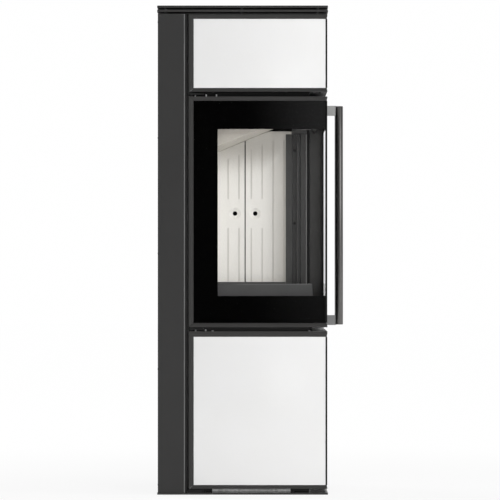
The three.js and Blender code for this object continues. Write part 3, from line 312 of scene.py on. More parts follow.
def printedGlass():
    # Black border printed on the inner faces round a window that is open at the glass corner; black edges
    material, paint = newPaint("printedGlass")
    x, y, z = paint.axes()
    slack = glassLook["slack"]
    frontInner = glassLook["frontY"][0]
    inner = x.near(glassLook["sideX"][0], slack).largest(y.near(frontInner, slack))
    outer = x.near(glassLook["sideX"][1], slack).largest(y.near(glassLook["frontY"][1], slack))
    window = (z > glassLook["windowZ"][0]) * (z < glassLook["windowZ"][1])
    window = window * (y < glassLook["sideEnd"]) * (x < glassLook["frontEnd"])
    # painted shade over the front pane's window, growing towards its foot and strongest below the guard's top
    glassShade = (1.0 - z.ramp(*glassLook["glassShadeZ"])) * glassLook["glassShadeAlpha"]
    glassShade = glassShade.largest((z < glassLook["guardHeight"]) * glassLook["guardShadeAlpha"])
    shadowed = y.near(frontInner, slack) * glassShade
    haze = paint.noise(*glassLook["haze"])
    closePaint(paint, {
        "Base Color": paint.blend(haze, glassLook["dark"], glassLook["light"]),
        "Roughness": paint.spread(haze, *glassLook["roughness"]),
        "Alpha": 1.0 - (inner * (window - shadowed * window) + outer) * (1 - glassLook["clearAlpha"]),
    })
    return material


# Painted shade darkens the board between the ends of the y range (towards the front) and of the z range
# (towards the top), on faces past a given x.
# Grooves, seams and air holes carry painted shade; grooves and air holes are known by how deep their faces
# lie
liningLook = {
    "flakes": 420.0, "cloud": (11.0, 4.0), "speck": (700.0, 3.0), "flakeShare": 0.5, "cloudShare": 0.6,
    "light": shade(242, (1.0, 0.985, 0.95)), "dark": shade(232, (1.0, 0.98, 0.93)), "roughness": (0.82, 0.96),
    "speckHeight": 0.5, "depth": 0.0006, "bump": 0.5,
    "paintedShadeColour": shade(168, (1.0, 0.955, 0.87)), "paintedShadeShare": 0.8, "paintedShadeX": 0.15, "paintedShadeY": (0.05, 0.15),
    "paintedShadeZ": (0.985, 1.09), "paintedShadeTop": 0.9, "paintedShadeCloud": (0.85, 1.1),
    "deepFaceX": 0.1948, "paintedDeepFaceTone": shade(216, (1.0, 0.98, 0.93)),
    "holeX": 0.2022, "holeY": -0.0065, "holeZ": 0.857, "holeReach": (0.05, 0.03), "hole": shade(8),
}
# Baffle: a painted shade on its end face and a painted light on its faces behind that, the underside
baffleLightShadeLook = dict(liningLook, light=shade(200, (1.0, 0.94, 0.84)), dark=shade(192, (1.0, 0.94, 0.84)),
                  paintedDeepFaceTone=shade(220, (1.0, 0.95, 0.86)), deepFaceX=-0.1885, paintedShadeShare=0.0, holeY=0.0, holeZ=0.0)


def pressedLining(name, look):
    # Pressed mineral board: pale, with fine flakes and a faint warm cloud, and painted shade towards its
    # front end and its top
    material, paint = newPaint(name)
    x, y, z = paint.axes()
    flakes = paint.cells(look["flakes"], "Distance")
    cloud = paint.noise(*look["cloud"])
    speck = paint.noise(*look["speck"])
    mix = flakes * look["flakeShare"] + cloud * look["cloudShare"]
    board = paint.blend(mix, look["dark"], look["light"])
    hole = y.near(look["holeY"], look["holeReach"][0]) * z.near(look["holeZ"], look["holeReach"][1])
    # painted shade on faces deeper than the board's face, in the grooves and seams, but not in the air-hole
    # dishes
    board = paint.blend((x > look["deepFaceX"]) * (1.0 - hole), board, look["paintedDeepFaceTone"])
    # painted shade towards the front end and the top, patchy with the cloud
    paintedShadeShare = (y * -1.0).ramp(*look["paintedShadeY"]).largest(z.ramp(*look["paintedShadeZ"]) * look["paintedShadeTop"])
    paintedShadeShare = paintedShadeShare * (x > look["paintedShadeX"]) * paint.spread(cloud, *look["paintedShadeCloud"]) * look["paintedShadeShare"]
    board = paint.blend(paintedShadeShare, board, look["paintedShadeColour"])
    closePaint(paint, {
        # painted shade: black deep in the air holes
        "Base Color": paint.blend((x > look["holeX"]) * hole, board, look["hole"]),
        "Roughness": paint.spread(speck, *look["roughness"]),
        "Normal": paint.bump(flakes + speck * look["speckHeight"], look["depth"], look["bump"]),
    })
    return material


barLook = {
    "dark": shade(112, (1.02, 1, 0.98)), "light": shade(132, (1.02, 1, 0.98)),
    "grain": (60.0, 4.0, (22, 22, 0.35)), "metal": 1.0, "roughness": (0.22, 0.36),
    "depth": 0.00006, "bump": 0.5,
}
armLook = {
    "dark": shade(170, (1.0, 1, 0.99)), "light": shade(184, (1.0, 1, 0.99)), "grain": (1400.0, 2.0),
    "metal": 0.35, "roughness": (0.42, 0.52), "depth": 0.00004, "bump": 0.5,
}
# painted shade: the lower arm is a darker copy of the arm steel
lowerArmShadedLook = dict(armLook, dark=shade(138), light=shade(152))
ironLook = {
    "dark": shade(34), "light": shade(52, (1.03, 1, 0.97)), "grain": (260.0, 5.0),
    "metal": 0.4, "roughness": (0.6, 0.8), "depth": 0.0006, "bump": 0.7,
}
ropeLook = {
    "dark": shade(34), "light": shade(60), "grain": (1500.0, 3.0),
    "metal": 0.0, "roughness": (0.85, 0.98), "depth": 0.0004, "bump": 0.7,
}


def grained(name, look):
    # Brushed or blasted steel, a raw casting and fibre: one grain gives colour, roughness and height
    material, paint = newPaint(name)
    grain = paint.noise(*look["grain"])
    closePaint(paint, {
        "Base Color": paint.blend(grain, look["dark"], look["light"]),
        "Roughness": paint.spread(grain, *look["roughness"]),
        "Metallic": look["metal"],
        "Normal": paint.bump(grain, look["depth"], look["bump"]),
    })
    return material


zincLook = {
    "spangle": 130.0, "wave": (22.0, 1.0), "dark": shade(160), "light": shade(212), "roughness": (0.35, 0.5),
    "metal": 0.45, "depth": 0.003, "bump": 0.8,
}
# painted light: a lighter copy of the zinc for the air duct, deep in the shaded base slot
ductLitLook = dict(zincLook, dark=shade(205), light=shade(245), metal=0.2, depth=0.006)


def galvanisedSheet(name, look):
    material, paint = newPaint(name)
    spangle = paint.wire("ShaderNodeSeparateColor", None, {0: paint.cells(look["spangle"], "Color")})
    wave = paint.noise(*look["wave"])
    closePaint(paint, {
        "Base Color": paint.blend(spangle, look["dark"], look["light"]),
        "Roughness": paint.spread(spangle, *look["roughness"]),
        "Metallic": look["metal"],
        "Normal": paint.bump(wave, look["depth"], look["bump"]),
    })
    return material


tileWhite = tileGlaze()
doorGlass = printedGlass()
liningBoard = pressedLining("pressedLining", liningLook)
baffleLightShadeBoard = pressedLining("baffleLightShadeBoard", baffleLightShadeLook)
handleSteel = grained("brushedSteel", barLook)
armSteel = grained("armSteel", armLook)
lowerArmShadedSteel = grained("lowerArmShadedSteel", lowerArmShadedLook)
castIron = grained("roughCasting", ironLook)
sealRope = grained("fibreRope", ropeLook)
zincSheet = galvanisedSheet("galvanisedSheet", zincLook)
ductLitSheet = galvanisedSheet("ductLitSheet", ductLitLook)
print("finishes ready")

finishOf = {
    "casing_paint": casingPaint, "frame_paint": framePaint, "inner_steel": innerSteel,
    "fire_steel": fireSteel, "white_tile": tileWhite, "door_glass": doorGlass, "lining": liningBoard,
    "stainless": handleSteel, "galvanised": zincSheet, "cast_iron": castIron, "rope_seal": sealRope,
}
ownFinish = {
    "base_plate": basePaint, "rear_casing": casingEdgeHighlightPaint, "air_duct": ductLitSheet,
    "lower_door_tray": lowerTrayHighlightPaint, "upper_tile_tray": upperTrayHighlightPaint, "glass_corner_strip": stripBlack,
    "door_handle_post": handlePostLitPaint, "handle_upper_arm": armSteel, "handle_lower_arm": lowerArmShadedSteel,
    "lower_hinge_bracket": bracketShadedSteel, "middle_hinge_bracket": bracketShadedSteel,
    "upper_hinge_bracket": bracketShadedSteel, "upper_shell": bracketShadedSteel, "left_channel_liner": linerLitSteel,
    "opening_front_post": postLipHighlightSteel, "firebox_walls": wallShadeSteel, "log_guard": guardLitSteel,
    "lower_baffle": baffleLightShadeBoard,
}
slotOf = {part["node"]: part["material_slot"] for part in frame["record"]["subparts"]}
bodyOf = {}
for bodyName, members in frame["record"]["behaviour"]["bodies"].items():
    for member in members:
        bodyOf[member] = bodyName
for nodeName, node in cadNodes.items():
    node.data.materials.clear()
    node.data.materials.append(ownFinish.get(nodeName, finishOf[slotOf[nodeName]]))
print("frame finished in its own materials")

# Degrees: edges over smooth are drawn sharp, edges over bevel are eased, and faces within flat become one.
# foot is the share of a node's height that counts as its foot
meshCare = {"smooth": 35, "bevel": 25, "flat": 0.5, "double": 1e-5, "segments": 2, "foot": 0.0001}


def addObject(name, data):
    made = bpy.data.objects.new(name, data)
    bpy.context.collection.objects.link(made)
    return made


def meshFrom(build, name):
    mesh = bpy.data.meshes.new(name)
    build.to_mesh(mesh)
    build.free()
    return mesh


def bakeModifiers(piece):
    # Turns a piece and its live modifiers into a plain mesh
    graph = bpy.context.evaluated_depsgraph_get()
    mesh = bpy.data.meshes.new_from_object(piece.evaluated_get(graph))
    piece.modifiers.clear()
    old = piece.data
    piece.data = mesh
    bpy.data.meshes.remove(old)


def standFor(piece, nodeName):
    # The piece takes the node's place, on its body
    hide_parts(nodeName)
    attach(piece, bodyOf[nodeName])


def belongTo(piece, body):
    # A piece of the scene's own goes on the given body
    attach(piece, body)


def smoothed(mesh, angle=meshCare["smooth"]):
    mesh.shade_smooth()
    mesh.set_sharp_from_angle(angle=math.radians(angle))


def newPiece(name, mesh, material, angle=meshCare["smooth"]):
    mesh.materials.clear()
    mesh.materials.append(material)
    smoothed(mesh, angle)
    return addObject(name, mesh)


def joinRings(build, rings):
    # Faces between each ring of points and the next
    for lower, upper in zip(rings, rings[1:]):
        for i in range(len(lower)):
            j = (i + 1) % len(lower)
            build.faces.new((lower[i], lower[j], upper[j], upper[i]))


def sharpBox(low, high, lip=0.0, cover=0.0):
    # A box, or one whose outer skin of thickness lip runs on forwards by cover
    outline = [(low[0], low[1])]
    if cover:
        outline = [(low[0], low[1] - cover), (low[0] + lip, low[1] - cover), (low[0] + lip, low[1])]
    outline += [(high[0], low[1]), (high[0], high[1]), (low[0], high[1])]
    build = bmesh.new()
    rings = [[build.verts.new((x, y, z)) for x, y in outline] for z in (low[2], high[2])]
    build.faces.new(list(reversed(rings[0])))
    build.faces.new(rings[1])
    joinRings(build, rings)
    return build


def easedMesh(build, name, radius, segments=2):
    bmesh.ops.bevel(build, geom=list(build.edges), offset=radius, offset_type="OFFSET", segments=segments,
                    profile=0.5, affect="EDGES")
    bmesh.ops.recalc_face_normals(build, faces=build.faces)
    return meshFrom(build, name)


def addBox(name, low, high, edge, material, body):
    belongTo(newPiece(name, easedMesh(sharpBox(low, high), name, edge), material), body)


def cutBoxes(piece, boxes):
    # Cuts each box, given by its two corners, out of a piece
    for low, high in boxes:
        cutter = addObject("cutter", meshFrom(sharpBox(low, high), "cutter"))
        notch = piece.modifiers.new("notch", "BOOLEAN")
        notch.operation = "DIFFERENCE"
        notch.solver = "EXACT"
        notch.object = cutter
        bakeModifiers(piece)
        bpy.data.objects.remove(cutter)


# The nodes drawn with eased edges, and the radius of those
easedNodes = {
    "base_plate": 0.0008, "top_plate": 0.0008, "rear_casing": 0.0003, "air_slide": 0.0008,
    "lower_door_tray": 0.0007, "upper_tile_tray": 0.0007, "door_rear_post": 0.0006,
    "door_bottom_rail": 0.0006, "door_top_rail": 0.0006, "door_handle_post": 0.0006,
    "lining_side_front": 0.0004, "lining_side_rear": 0.0004, "lining_rear": 0.0012,
    "lower_baffle": 0.002, "log_guard": 0.0012, "opening_front_post": 0.0004,
    "handle_lower_arm": 0.0009, "handle_upper_arm": 0.0009, "grate": 0.0015,
}
# How far a front leans forwards and how far a piece is lowered, each at its foot and at its head
leans = {"log_guard": (0.008, 0.003)}
drops = {"handle_bar": (0.0032, 0.0026), "handle_upper_arm": (0.0039, 0.0013),
         "handle_lower_arm": (0.0048, 0.002), "door_bottom_rail": (0.0012, 0.0023),
         "door_top_rail": (0.001, 0.0003)}
# How far the foot alone is lowered
hangs = {"door_rear_post": 0.0012, "door_handle_post": 0.0012}
# The arms' slots in the handle post run down as far as the arms do
slotRoom = {"x": (0.23455, 0.2505), "y": (-0.2605, -0.22905), "below": 0.001, "above": 0.01}


def armSlot(armName):
    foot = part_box(armName)[0][2]
    return ((slotRoom["x"][0], slotRoom["y"][0], foot - drops[armName][0] - slotRoom["below"]),
            (slotRoom["x"][1], slotRoom["y"][1], foot + slotRoom["above"]))


notchesOf = {"door_handle_post": (armSlot("handle_lower_arm"), armSlot("handle_upper_arm"))}


def softened(nodeName, radius):
    # The node's own shape with its edges eased, as folded or machined edges are
    low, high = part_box(nodeName)
    lean = leans.get(nodeName, (0.0, 0.0))
    drop = drops.get(nodeName, (0.0, 0.0))
    hang = hangs.get(nodeName, 0.0)
    mesh = cadNodes[nodeName].data.copy()
    build = bmesh.new()
    build.from_mesh(mesh)
    for vert in build.verts:
        height = (vert.co.z - low[2]) / (high[2] - low[2])
        if vert.co.y < (low[1] + high[1]) / 2:
            vert.co.y -= lean[0] + (lean[1] - lean[0]) * height
        vert.co.z -= drop[0] + (drop[1] - drop[0]) * height + (hang if height < meshCare["foot"] else 0.0)
    bmesh.ops.remove_doubles(build, verts=build.verts, dist=meshCare["double"])
    build.to_mesh(mesh)
    build.free()
    piece = addObject(nodeName + "_eased", mesh)
    cutBoxes(piece, notchesOf.get(nodeName, ()))
    build = bmesh.new()
    build.from_mesh(piece.data)
    flat = math.radians(meshCare["flat"])
    bmesh.ops.dissolve_limit(build, angle_limit=flat, verts=build.verts, edges=build.edges)
    build.to_mesh(piece.data)
    build.free()
    ease = piece.modifiers.new("ease", "BEVEL")
    ease.width = radius
    ease.segments = meshCare["segments"]
    ease.limit_method = "ANGLE"
    ease.angle_limit = math.radians(meshCare["bevel"])
    ease.use_clamp_overlap = True
    ease.harden_normals = True
    bakeModifiers(piece)
    standFor(piece, nodeName)


for easedName, easedRadius in easedNodes.items():
    softened(easedName, easedRadius)
print("edges eased on", len(easedNodes), "pieces")

# lip and cover: how thick and how far the side tile's face runs on over the corner
tileShape = {"edge": 0.0006, "segments": 4, "lip": 0.0044, "cover": 0.0037}
# out: how far a corner's black strip stands proud; lap: how far the glass one runs on over the side pane
stripShape = {"reach": 0.0044, "gap": 0.0002, "edge": 0.0003, "out": 0.0007, "lap": 0.0009}


def makeTile(nodeName):
    low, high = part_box(nodeName)
    onSide = "side" in nodeName
    lip, cover = (tileShape["lip"], tileShape["cover"]) if onSide else (0.0, 0.0)
    name = nodeName + "_glazed"
    mesh = easedMesh(sharpBox(low, high, lip, cover), name, tileShape["edge"], tileShape["segments"])
    standFor(newPiece(name, mesh, tileWhite), nodeName)
    if onSide:
        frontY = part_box(nodeName.replace("side", "front"))[0][1] - stripShape["out"]
        stripLow = (low[0], frontY, low[2])
        stripHigh = (low[0] + stripShape["reach"], low[1] - cover - stripShape["gap"], high[2])
        name = nodeName.replace("side_tile", "corner_strip")
        addBox(name, stripLow, stripHigh, stripShape["edge"], stripBlack, bodyOf[nodeName])


def makeGlassStrip():
    low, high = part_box("glass_corner_strip")
    low = (low[0] - stripShape["out"], low[1] - stripShape["out"], low[2])
    high = (high[0], high[1] + stripShape["lap"], high[2])
    name = "glass_corner_strip_eased"
    piece = newPiece(name, easedMesh(sharpBox(low, high), name, stripShape["edge"]), stripBlack)
    standFor(piece, "glass_corner_strip")


for tileNode in ("lower_side_tile", "lower_front_tile", "upper_side_tile", "upper_front_tile"):
    makeTile(tileNode)
makeGlassStrip()
print("tiles and corner strips made")

# chamferSteps: for each ring at an end, its height and how far it is drawn in, as shares of the chamfer
barShape = {"sides": 64, "chamfer": 0.0015, "thicker": 0.0005, "chamferSteps": ((0, 1), (0.3, 0.3), (1, 0))}


def makeBar():
    low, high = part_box("handle_bar")
    # Thicker towards the stove only, so its front stays where the solid's is
    centre = ((low[0] + high[0]) / 2, (low[1] + high[1]) / 2 + barShape["thicker"])
    radius = (high[0] - low[0]) / 2 + barShape["thicker"]
    chamfer = barShape["chamfer"]
    foot, head = low[2] - drops["handle_bar"][0], high[2] - drops["handle_bar"][1]
    rings = [(foot + chamfer * up, radius - chamfer * inwards) for up, inwards in barShape["chamferSteps"]]
    rings += [(foot + head - z, r) for z, r in reversed(rings)]
    turns = [2 * math.pi * i / barShape["sides"] for i in range(barShape["sides"])]
    build = bmesh.new()
    loops = []
    for z, r in rings:
        circle = [(centre[0] + r * math.cos(turn), centre[1] + r * math.sin(turn), z) for turn in turns]
        loops.append([build.verts.new(point) for point in circle])
    joinRings(build, loops)
    build.faces.new(list(reversed(loops[0])))
    build.faces.new(loops[-1])
    standFor(newPiece("handle_bar_turned", meshFrom(build, "handle_bar_turned"), handleSteel), "handle_bar")


makeBar()
print("handle bar made")

# section: the seal's thickness and width, whose middle the rope follows
ropeShape = {
    "strands": 3, "strand": 0.0019, "lay": 0.0019, "core": 0.0034, "twist": 260.0, "corner": 0.012,
    "cornerPoints": 6, "step": 0.003, "sides": 8, "section": (0.0074, 0.009), "outward": 0.0004,
}


def ropeTree():
    # Strands laid round a core, along a closed path
    shaper = Shaper("laidRope", {
        "Strand Radius": ("Float", ropeShape["strand"]), "Lay Radius": ("Float", ropeShape["lay"]),
        "Core Radius": ("Float", ropeShape["core"]), "Twist": ("Float", ropeShape["twist"]),
        "Corner": ("Float", ropeShape["corner"]), "Step": ("Float", ropeShape["step"])})
    path = shaper.wire("GeometryNodeMeshToCurve", None, {0: shaper.given("Geometry")})
    path = shaper.wire("GeometryNodeFilletCurve", {"mode": "POLY"}, {
        "Curve": path, "Radius": shaper.given("Corner"), "Count": ropeShape["cornerPoints"]})
    path = shaper.wire("GeometryNodeResampleCurve", {"mode": "LENGTH"}, {
        "Curve": path, "Length": shaper.given("Step")})
    along = shaper.wire("GeometryNodeSplineParameter", output="Length")
    normal = shaper.wire("GeometryNodeInputNormal")
    tangent = shaper.wire("GeometryNodeInputTangent")
    across = shaper.wire("ShaderNodeVectorMath", {"operation": "CROSS_PRODUCT"}, {0: tangent, 1: normal})
    ring = shaper.wire("GeometryNodeCurvePrimitiveCircle", None, {
        "Resolution": ropeShape["sides"], "Radius": shaper.given("Strand Radius")})
    middle = shaper.wire("GeometryNodeCurvePrimitiveCircle", None, {
        "Resolution": ropeShape["sides"], "Radius": shaper.given("Core Radius")})
    strands = [shaper.wire("GeometryNodeCurveToMesh", None, {0: path, 1: middle})]
    for turn in range(ropeShape["strands"]):
        angle = along * shaper.given("Twist") + turn * 2 * math.pi / ropeShape["strands"]
        aside = shaper.wire("ShaderNodeVectorMath", {"operation": "SCALE"}, {
            0: normal, "Scale": angle.maths("COSINE", angle) * shaper.given("Lay Radius")})
        up = shaper.wire("ShaderNodeVectorMath", {"operation": "SCALE"}, {
            0: across, "Scale": angle.maths("SINE", angle) * shaper.given("Lay Radius")})
        offset = shaper.wire("ShaderNodeVectorMath", {"operation": "ADD"}, {0: aside, 1: up})
        strand = shaper.wire("GeometryNodeSetPosition", None, {"Geometry": path, "Offset": offset})
        strands.append(shaper.wire("GeometryNodeCurveToMesh", None, {0: strand, 1: ring}))
    joined = shaper.node("GeometryNodeJoinGeometry")
    for strand in strands:
        shaper.tree.links.new(strand.socket, joined.inputs[0])
    shaper.close(Wire(shaper, joined.outputs[0]), sealRope)
    return shaper


def makeRope():
    # Round the door's inner flange, and a little outwards of the seal's middle at the side and the front
    low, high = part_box("door_seal")
    thick, wide = [size / 2 for size in ropeShape["section"]]
    sideX, frontY = low[0] + thick - ropeShape["outward"], low[1] + thick - ropeShape["outward"]
    rearY, farX = high[1] - wide, high[0] - wide
    foot, head = low[2] + wide, high[2] - wide
    corners = [(sideX, rearY, foot), (sideX, frontY, foot), (farX, frontY, foot),
               (farX, frontY, head), (sideX, frontY, head), (sideX, rearY, head)]
    mesh = bpy.data.meshes.new("door_seal_rope")
    mesh.from_pydata(corners, [(i, (i + 1) % len(corners)) for i in range(len(corners))], [])
    piece = addObject("door_seal_rope", mesh)
    ropeTree().apply(piece)
    standFor(piece, "door_seal")


makeRope()
print("seal rope laid")

# A domed head of radius and height 1 with a six-sided recess. crown: radius and height of its outer rings;
# spin: the largest random turn, in radians
headShape = {"sides": 18, "recess": 0.45, "sunk": 0.3, "spin": 6.28,
             "crown": ((0.72, 1.0), (0.93, 0.82), (1.0, 0.55), (1.0, 0.0))}

# size: radius and height of a head; inset: from the edge of the node that it is on; clear: air under the tray
fixings = {
    "rear_casing_screws": {"on": "rear_casing", "finish": "casing_paint", "size": (0.0032, 0.0008),
                           "facing": (0, 1, 0), "inset": 0.012, "z": (0.03, 0.385, 0.74, 1.095, 1.45)},
    "front_post_bolts": {"on": "opening_front_post", "finish": "rope_seal", "size": (0.0045, 0.0025),
                         "facing": (-1, 0, 0), "x": 0.202, "y": -0.1655, "z": (0.839, 1.073)},
    "door_top_bolts": {"on": "door_top_rail", "finish": "galvanised", "size": (0.0022, 0.0068),
                       "facing": (0, 0, 1), "inset": 0.012, "y": (0.1455, 0.112, 0.0805)},
    "upper_tray_bolts": {"on": "upper_tile_tray", "finish": "rope_seal", "size": (0.0035, 0.003),
                         "facing": (0, 0, -1), "inset": 0.014, "clear": 0.0008, "y": (-0.2135, -0.2375)},
    "lower_door_bolts": {"on": "lower_door_tray", "finish": "galvanised", "size": (0.0024, 0.006),
                         "facing": (0, 0, 1), "inset": 0.012, "y": (0.1445, 0.1135)},
    "lower_door_rivets": {"on": "lower_door_tray", "finish": "galvanised", "size": (0.0035, 0.0025),
                          "facing": (0, 0, 1), "inset": 0.012, "y": (0.092, -0.2045)},
}


def headMesh():
    sixth = math.pi / 3
    recess, sunk = headShape["recess"], headShape["sunk"]
    rings = [(0.0, sunk, True), (recess, sunk, True), (recess, 1.0, True)]
    rings += [(radius, z, False) for radius, z in headShape["crown"]]
    build = bmesh.new()
    loops = []
    for radius, z, sixSided in rings:
        loop = []
        for i in range(headShape["sides"]):
            turn = 2 * math.pi * i / headShape["sides"]
            reach = radius
            if sixSided:
                reach = radius * math.cos(sixth / 2) / math.cos(turn % sixth - sixth / 2)
            loop.append(build.verts.new((reach * math.cos(turn), reach * math.sin(turn), z)))
        loops.append(loop)
    joinRings(build, loops)
    build.faces.new(list(reversed(loops[-1])))
    bmesh.ops.remove_doubles(build, verts=build.verts, dist=meshCare["double"])
    bmesh.ops.recalc_face_normals(build, faces=build.faces)
    return meshFrom(build, "screwHead")


def fixingPlaces(fixing):
    # Down both edges of a back, at one x and y, or in a row by the left edge of a top or an underside
    low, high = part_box(fixing["on"])
    if "z" not in fixing:
        seat = high[2] if fixing["facing"][2] > 0 else low[2] - fixing["clear"]
        return [(low[0] + fixing["inset"], y, seat) for y in fixing["y"]]
    if "x" in fixing:
        return [(fixing["x"], fixing["y"], z) for z in fixing["z"]]
    sides = (low[0] + fixing["inset"], high[0] - fixing["inset"])
    return [(x, high[1], z) for x in sides for z in fixing["z"]]


def makeFixing(name, fixing, screwHead):
    # A head on each place, turned by a seeded random amount as hand-driven screws are
    places = fixingPlaces(fixing)
    shaper = Shaper(name + "Tree", {
        "Head Radius": ("Float", fixing["size"][0]), "Head Height": ("Float", fixing["size"][1]),
        "Facing": ("Vector", fixing["facing"]), "Seed": ("Int", len(places))})
    head = shaper.wire("GeometryNodeObjectInfo", None, {"Object": screwHead}, "Geometry")
    aim = shaper.wire("FunctionNodeAlignRotationToVector", {"axis": "Z"}, {"Vector": shaper.given("Facing")})
    spin = shaper.wire("FunctionNodeRandomValue", {"data_type": "FLOAT"}, {
        "Min": 0.0, "Max": headShape["spin"], "Seed": shaper.given("Seed")}, 1)
    turn = shaper.wire("FunctionNodeAxisAngleToRotation", None, {"Axis": (0, 0, 1), "Angle": spin})
    turned = shaper.wire("FunctionNodeRotateRotation", {"rotation_space": "LOCAL"}, {0: aim, 1: turn})
    points = shaper.wire("GeometryNodeMeshToPoints", None, {0: shaper.given("Geometry")})
    scale = shaper.wire("ShaderNodeCombineXYZ", None, {
        0: shaper.given("Head Radius"), 1: shaper.given("Head Radius"), 2: shaper.given("Head Height")})
    heads = shaper.wire("GeometryNodeInstanceOnPoints", None, {
        "Points": points, "Instance": head, "Rotation": turned, "Scale": scale})
    shaper.close(heads, finishOf[fixing["finish"]])
    mesh = bpy.data.meshes.new(name)
    mesh.from_pydata(places, [], [])
    piece = addObject(name, mesh)
    shaper.apply(piece)
    smoothed(piece.data)
    belongTo(piece, bodyOf[fixing["on"]])


headPattern = addObject("screwHead", headMesh())
for fixingName, fixingSizes in fixings.items():
    makeFixing(fixingName, fixingSizes, headPattern)
bpy.data.objects.remove(headPattern)
print("screws and bolts set")

postCap = {"x": (0.1972, 0.2230), "y": (-0.2046, -0.1560), "top": 1.1500, "gap": 0.0002, "edge": 0.0005}


def makePostCap():
    # Short block that fills the space over the front post
    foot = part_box("opening_front_post")[1][2] + postCap["gap"]
    (x0, x1), (y0, y1) = postCap["x"], postCap["y"]
    low, high = (x0, y0, foot), (x1, y1, postCap["top"])
    addBox("front_post_cap", low, high, postCap["edge"], fireSteel, "root")


trayPan = {"x": (-0.2460, 0.2300), "y": (-0.2560, -0.2080), "sheet": 0.0006, "gap": 0.0002, "edge": 0.0002}


def makeTrayPan():
    # Sheet under the front of the upper tray, seen in the gap over the door
    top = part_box("upper_tile_tray")[0][2] - trayPan["gap"]
    (x0, x1), (y0, y1) = trayPan["x"], trayPan["y"]
    low, high = (x0, y0, top - trayPan["sheet"]), (x1, y1, top)
    # in the lighter liner paint, a painted light
    addBox("upper_tray_pan", low, high, trayPan["edge"], linerLitSteel, "root")


footRail = {"height": 0.0497, "sheet": 0.0025, "gap": 0.0003, "postGap": 0.0005, "edge": 0.0006}


def makeFootRail():
    # Rail at the foot of the side lining, from the front post to the rear
    rearLow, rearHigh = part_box("lining_side_rear")
    face = rearLow[0] - footRail["gap"]
    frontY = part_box("opening_front_post")[1][1] + footRail["postGap"]
    low = (face - footRail["sheet"], frontY, rearLow[2])
    high = (face, rearHigh[1], rearLow[2] + footRail["height"])
    addBox("lining_foot_rail", low, high, footRail["edge"], fireSteel, "root")


washEnd = {"y": (-0.2180, -0.1700), "z": (1.1391, 1.1495), "sheet": 0.0015, "edge": 0.0003}


def makeWashEnd():
    # Bright plate that closes the far end of the air-wash strip
    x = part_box("air_wash_strip")[1][0]
    (y0, y1), (z0, z1) = washEnd["y"], washEnd["z"]
    low, high = (x, y0, z0), (x + washEnd["sheet"], y1, z1)
    addBox("air_wash_end", low, high, washEnd["edge"], handleSteel, "root")


strikePlate = {"x": (-0.236, 0.236), "y": (-0.2545, -0.2125), "sheet": 0.0008, "gap": 0.0001, "edge": 0.0003,
               "stopX": (-0.05, -0.0485), "stopY": (-0.2540, -0.2165), "stopHeight": 0.0102}


def makeStrikePlate():
    # Galvanised sheet on the lower door, under the latch end of the firebox door, with an upright stop
    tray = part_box("lower_door_tray")[1][2]
    top = tray + strikePlate["sheet"]
    (x0, x1), (y0, y1) = strikePlate["x"], strikePlate["y"]
    low, high = (x0, y0, tray + strikePlate["gap"]), (x1, y1, top)
    addBox("latch_strike_plate", low, high, strikePlate["edge"], zincSheet, "lower_door")
    (x0, x1), (y0, y1) = strikePlate["stopX"], strikePlate["stopY"]
    low, high = (x0, y0, top), (x1, y1, tray + strikePlate["stopHeight"])
    addBox("latch_strike_stop", low, high, strikePlate["edge"], zincSheet, "lower_door")


makePostCap()
makeTrayPan()
makeFootRail()
makeWashEnd()
makeStrikePlate()
print("foot rail, wash end and strike plate made")

hemShape = {"radius": 0.0022, "inset": 0.002, "resolution": 5, "smooth": 50}


def makeHem():
    # Round hem along the top of the log guard
    low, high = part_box("log_guard")
    radius, inset = hemShape["radius"], hemShape["inset"]
    frontY = low[1] - leans["log_guard"][1] + inset
    sideX, top = low[0] + inset, high[2] - radius
    path = [(sideX, high[1] - radius, top), (sideX, frontY, top), (high[0] - radius, frontY, top)]
    curve = bpy.data.curves.new("log_guard_hem", "CURVE")
    curve.dimensions = "3D"
    curve.bevel_depth = radius
    curve.bevel_resolution = hemShape["resolution"]
    curve.use_fill_caps = True
    line = curve.splines.new("POLY")
    line.points.add(len(path) - 1)
    for point, place in zip(line.points, path):
        point.co = (*place, 1)
    shape = addObject("hemPath", curve)
    mesh = bpy.data.meshes.new_from_object(shape.evaluated_get(bpy.context.evaluated_depsgraph_get()))
    bpy.data.objects.remove(shape)
    belongTo(newPiece("log_guard_hem", mesh, innerSteel, hemShape["smooth"]), "root")


makeHem()
print("guard hem made")

white = (1, 1, 1, 1)
# glow: the floor's own light near the stove and past the reach of its shadow
floorLook = {"size": 60.0, "colour": shade(248), "glow": (0.86, 0.995), "reach": (0.7, 2.6)}


def flatMesh(name, corners):
    mesh = bpy.data.meshes.new(name)
    mesh.from_pydata(corners, [], [tuple(range(len(corners)))])
    return mesh


def seenDirectly(paint):
    # 1 for what the camera sees, through the glass too
    return paint.ray("Is Camera Ray").largest(paint.ray("Is Transmission Ray"))


def makeFloor():
    half = floorLook["size"] / 2
    mesh = flatMesh("studioFloor", [(-half, -half, 0), (half, -half, 0), (half, half, 0), (-half, half, 0)])
    material, paint = newPaint("studioFloor")
    reach = paint.wire("ShaderNodeVectorMath", {"operation": "LENGTH"}, {0: paint.place()}, "Value")
    kept = paint.spread(reach.ramp(*floorLook["reach"]), *floorLook["glow"])
    matt = paint.wire("ShaderNodeBsdfDiffuse", None, {"Color": floorLook["colour"]})
    glow = paint.wire("ShaderNodeEmission", None, {"Color": white, "Strength": 1.0})
    surface = paint.wire("ShaderNodeMixShader", None, {0: seenDirectly(paint) * kept, 1: matt, 2: glow})
    paint.node("ShaderNodeOutputMaterial", None, {"Surface": surface})
    mesh.materials.append(material)
    addObject("studioFloor", mesh)


# gloss: what reflections meet behind the stove and before its glazed side; turn: the span between these
airLook = {"backdrop": 0.998, "light": 0.22, "gloss": (0.6, 0.03), "turn": (-0.6, 0.5)}


